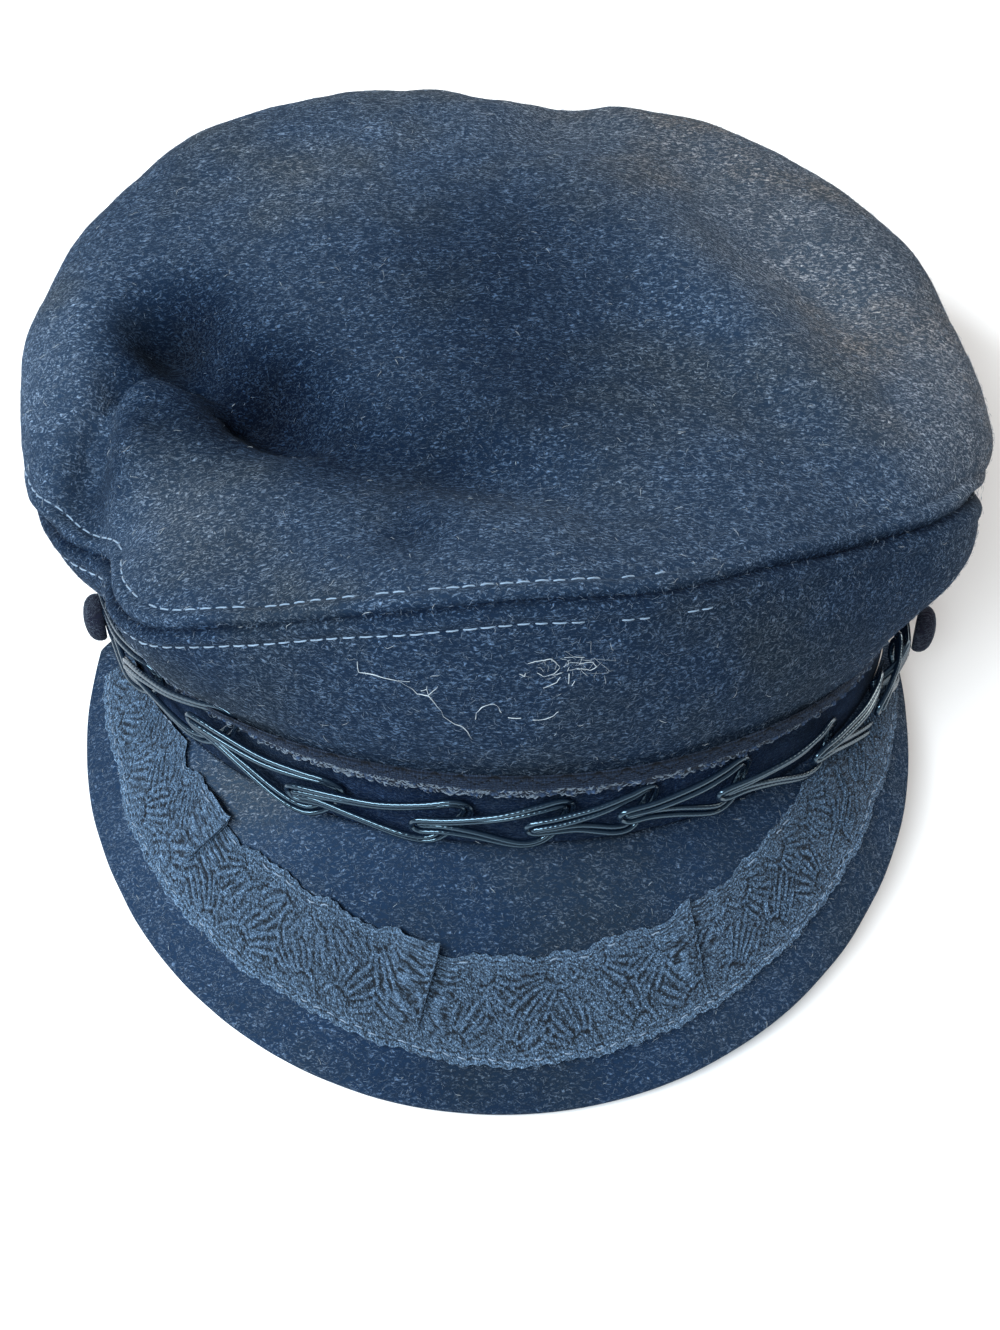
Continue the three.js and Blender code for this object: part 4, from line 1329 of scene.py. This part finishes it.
def hairs(name, surface, normals, places, count, kind, seed, material):
    """One piece made of fine tapered hairs, rooted at random all over a surface of rings, thicker
    where its places of painted light are pale and thinner where their painted shade is dark."""
    shortest, longest, thick, lift, curl = kind
    chance = np.random.default_rng(seed)
    a, b, c = surface[:-1, :-1], surface[1:, :-1], surface[:-1, 1:]
    area = np.linalg.norm(np.cross(b - a, c - a), axis=-1).ravel()
    area = area * np.clip(light_and_shade_gain(a, places, 1.0), 0, 1.5).ravel() ** 1.5
    cell = chance.choice(area.size, size=count, p=area / area.sum())
    ring, station = np.unravel_index(cell, a.shape[:2])
    u, v = chance.uniform(size=(2, count, 1))
    root = (surface[ring, station] * (1 - u) * (1 - v) + surface[ring + 1, station] * u * (1 - v)
            + surface[ring, station + 1] * (1 - u) * v + surface[ring + 1, station + 1] * u * v)
    upright = normals[ring, station]
    ahead = chance.normal(size=(count, 3))
    ahead = unit(ahead - upright * (ahead * upright).sum(-1, keepdims=True))
    sideways = np.cross(upright, ahead)
    long = chance.uniform(shortest, longest, size=(count, 1))
    tall = lift * chance.uniform(0.3, 1.3, size=(count, 1))
    bend = curl * chance.normal(size=(count, 1)) * long
    half = thick * chance.uniform(0.6, 1.2, size=(count, 1)) / 2
    tip_lift = chance.uniform(-0.1, 1.3, size=(count, 1))
    first = root - upright * 0.15
    second = root + ahead * long * 0.33 + upright * tall * 0.8 + sideways * bend * 0.3
    third = root + ahead * long * 0.68 + upright * tall + sideways * bend * 0.75
    last = root + ahead * long + upright * tall * tip_lift + sideways * bend * 0.6
    corners = [first]
    for middle in (second, third):
        for corner in range(3):
            angle = 2 * math.pi * corner / 3
            corners.append(middle + half * (sideways * math.cos(angle) + upright * math.sin(angle)))
    corners.append(last)
    points = np.stack(corners, 1).reshape(-1, 3)
    pattern = [(0, 2, 1), (0, 3, 2), (0, 1, 3)]
    for i in range(3):
        j = (i + 1) % 3
        pattern.append((1 + i, 1 + j, 4 + j, 4 + i))
    pattern += [(4, 5, 7), (5, 6, 7), (6, 4, 7)]
    faces = []
    for start in range(0, 8 * count, 8):
        faces.extend([[start + corner for corner in face] for face in pattern])
    return mesh_piece(name, points, faces, material)


def closed_round(grid):
    return np.concatenate([grid, grid[:, :1]], axis=1)


nap_hair = thread("nap_hair", (0.15, 0.21, 0.29), 0.85, 0.1)
pale_hair = thread("pale_hair", (0.33, 0.39, 0.44), 0.7, 0.2)
top_ground = (closed_round(top_out), closed_round(top_normal), CROWN_LIGHT_AND_SHADE)
side_ground = (closed_round(side_out), closed_round(side_normal), CROWN_LIGHT_AND_SHADE)
peak_ground = (peak_surface, peak_normals, PEAK_LIGHT_AND_SHADE)
for name, ground, count, kind, seed, material, slot in (
    ("top_nap", top_ground, 8000, NAP, 91, nap_hair, "crown_wool"),
    ("side_nap", side_ground, 6000, NAP, 92, nap_hair, "crown_wool"),
    ("peak_nap", peak_ground, 4200, PEAK_NAP, 93, nap_hair, "peak_wool"),
    ("top_lint", top_ground, 420, LINT, 94, pale_hair, "crown_wool"),
    ("side_lint", side_ground, 160, LINT, 95, pale_hair, "crown_wool"),
    ("peak_lint", peak_ground, 110, PEAK_LINT, 96, pale_hair, "peak_wool"),
):
    hairs(name, *ground, count, kind, seed, material)


# Frayed loops of pale thread stand out along the trim's lower edge.
FRAYED_LOOPS = 620
FRAYED_ROWS = [23, 24, 25, 26, 27, 28, 30, 32, 34, 35, 36, 37]
fray = np.random.default_rng(121)
loops = []
for _ in range(FRAYED_LOOPS):
    turn = 78 * fray.normal(-0.15, 0.42)
    station = int(np.interp(turn, trim_turns, np.arange(TRIM_STATIONS)))
    root = trim_rows[int(fray.choice(FRAYED_ROWS))][station]
    out = trim_out[station]
    lean = fray.normal(0, 0.45)
    ahead = np.cross(out, UPRIGHT) * math.cos(lean) + UPRIGHT * math.sin(lean)
    long = fray.uniform(0.7, 1.9)
    t = np.linspace(-0.5, 0.5, 5)[:, None]
    stands = (0.25 - t ** 2) * 4 * fray.uniform(0.15, 0.5) - 0.1
    sags = (0.25 - t ** 2) * fray.normal(0, 1.2)
    line = root + t * long * ahead + stands * out + sags * UPRIGHT
    loops.append((line, fray.uniform(0.07, 0.14), out, False))
frayed_thread = thread("frayed_thread", (0.10, 0.14, 0.19), 0.8, 0.1)
tubes("frayed_loops", loops, frayed_thread, 5)

# A tangle of hairs to the right of the middle of the front.
tangle = [int(round((turn + 180) / 360 * CROWN_STATIONS)) for turn in (2.0, 12.0)]
rows = [int(np.searchsorted(up_rows, up)) for up in (0.66, 0.77)]
patch = (slice(rows[0], rows[1]), slice(tangle[0], tangle[1]))
tangled = hairs(
    "tangled_hairs", side_out[patch], side_normal[patch], CROWN_LIGHT_AND_SHADE, 34, TANGLE, 97, pale_hair)

# Longer threads on the side panel, each given as turns round the cap and shares of the way
# up the panel.
LONG_THREADS = [
    [(-19.9, 0.767), (-19.7, 0.705), (-17.6, 0.7), (-15.9, 0.689), (-14.4, 0.669),
     (-12.9, 0.631), (-12.2, 0.603), (-10.8, 0.595), (-9.9, 0.552), (-9.2, 0.512), (-8.9, 0.475),
     (-7.5, 0.44), (-6.6, 0.416), (-5.8, 0.377), (-5.3, 0.336)],
    [(-10.8, 0.595), (-11.1, 0.631), (-11.1, 0.668)],
    [(-10.8, 0.595), (-10.2, 0.622), (-9.7, 0.648)],
    [(-11.1, 0.631), (-11.8, 0.626)],
    [(-14.7, 0.68), (-13.2, 0.676)],
    [(-5.0, 0.458), (-4.8, 0.501), (-4.3, 0.531), (-3.7, 0.537), (-2.8, 0.538), (-2.2, 0.53),
     (-1.7, 0.494)],
    [(-0.9, 0.462), (0.7, 0.463)],
    [(2.1, 0.444), (3.6, 0.456), (4.8, 0.465), (5.4, 0.483)],
    [(1.4, 0.731), (2.2, 0.744), (4.3, 0.75), (5.5, 0.707), (4.8, 0.677), (3.4, 0.666),
     (2.6, 0.686)],
    [(0.4, 0.685), (0.9, 0.669), (1.1, 0.684)],
    [(5.5, 0.662), (5.1, 0.634), (3.4, 0.611)],
    [(5.9, 0.709), (6.8, 0.727), (8.4, 0.72), (9.6, 0.728), (10.1, 0.705), (9.3, 0.688),
     (7.6, 0.7)],
    [(6.6, 0.676), (6.5, 0.628)],
    [(7.3, 0.643), (6.9, 0.617)],
    [(6.0, 0.751), (7.3, 0.756), (8.6, 0.747)],
]
THREAD_RADIUS = 0.075
threads_up = []
for number, places in enumerate(LONG_THREADS):
    at = np.array(places)
    spaced = np.linspace(0, len(at) - 1, 6 * len(at))
    turn = np.interp(spaced, np.arange(len(at)), at[:, 0])
    up = np.interp(spaced, np.arange(len(at)), at[:, 1])
    turn = turn + 0.05 * uneven(spaced, 1.6, 110 + number)
    up = up + 0.002 * uneven(spaced, 1.3, 130 + number)
    station = (turn + 180) / 360 * CROWN_STATIONS
    low = station.astype(int)
    share = (station - low)[:, None]
    on_side = []
    for grid in (side_out, side_normal):
        here = np.stack([read_off(grid[:, k], up_rows, v) for v, k in zip(up, low)])
        there = np.stack([read_off(grid[:, k + 1], up_rows, v) for v, k in zip(up, low)])
        on_side.append(here * (1 - share) + there * share)
    line, lean = on_side
    line = line + lean * (0.35 + 0.2 * uneven(spaced, 2.0, 150 + number))[:, None]
    radii = THREAD_RADIUS * np.clip(1 + 0.4 * uneven(spaced, 1.5, 170 + number), 0.4, 1.6)
    threads_up.append((line, radii, lean.mean(0), False))
tubes("caught_threads", threads_up, pale_hair, 5)
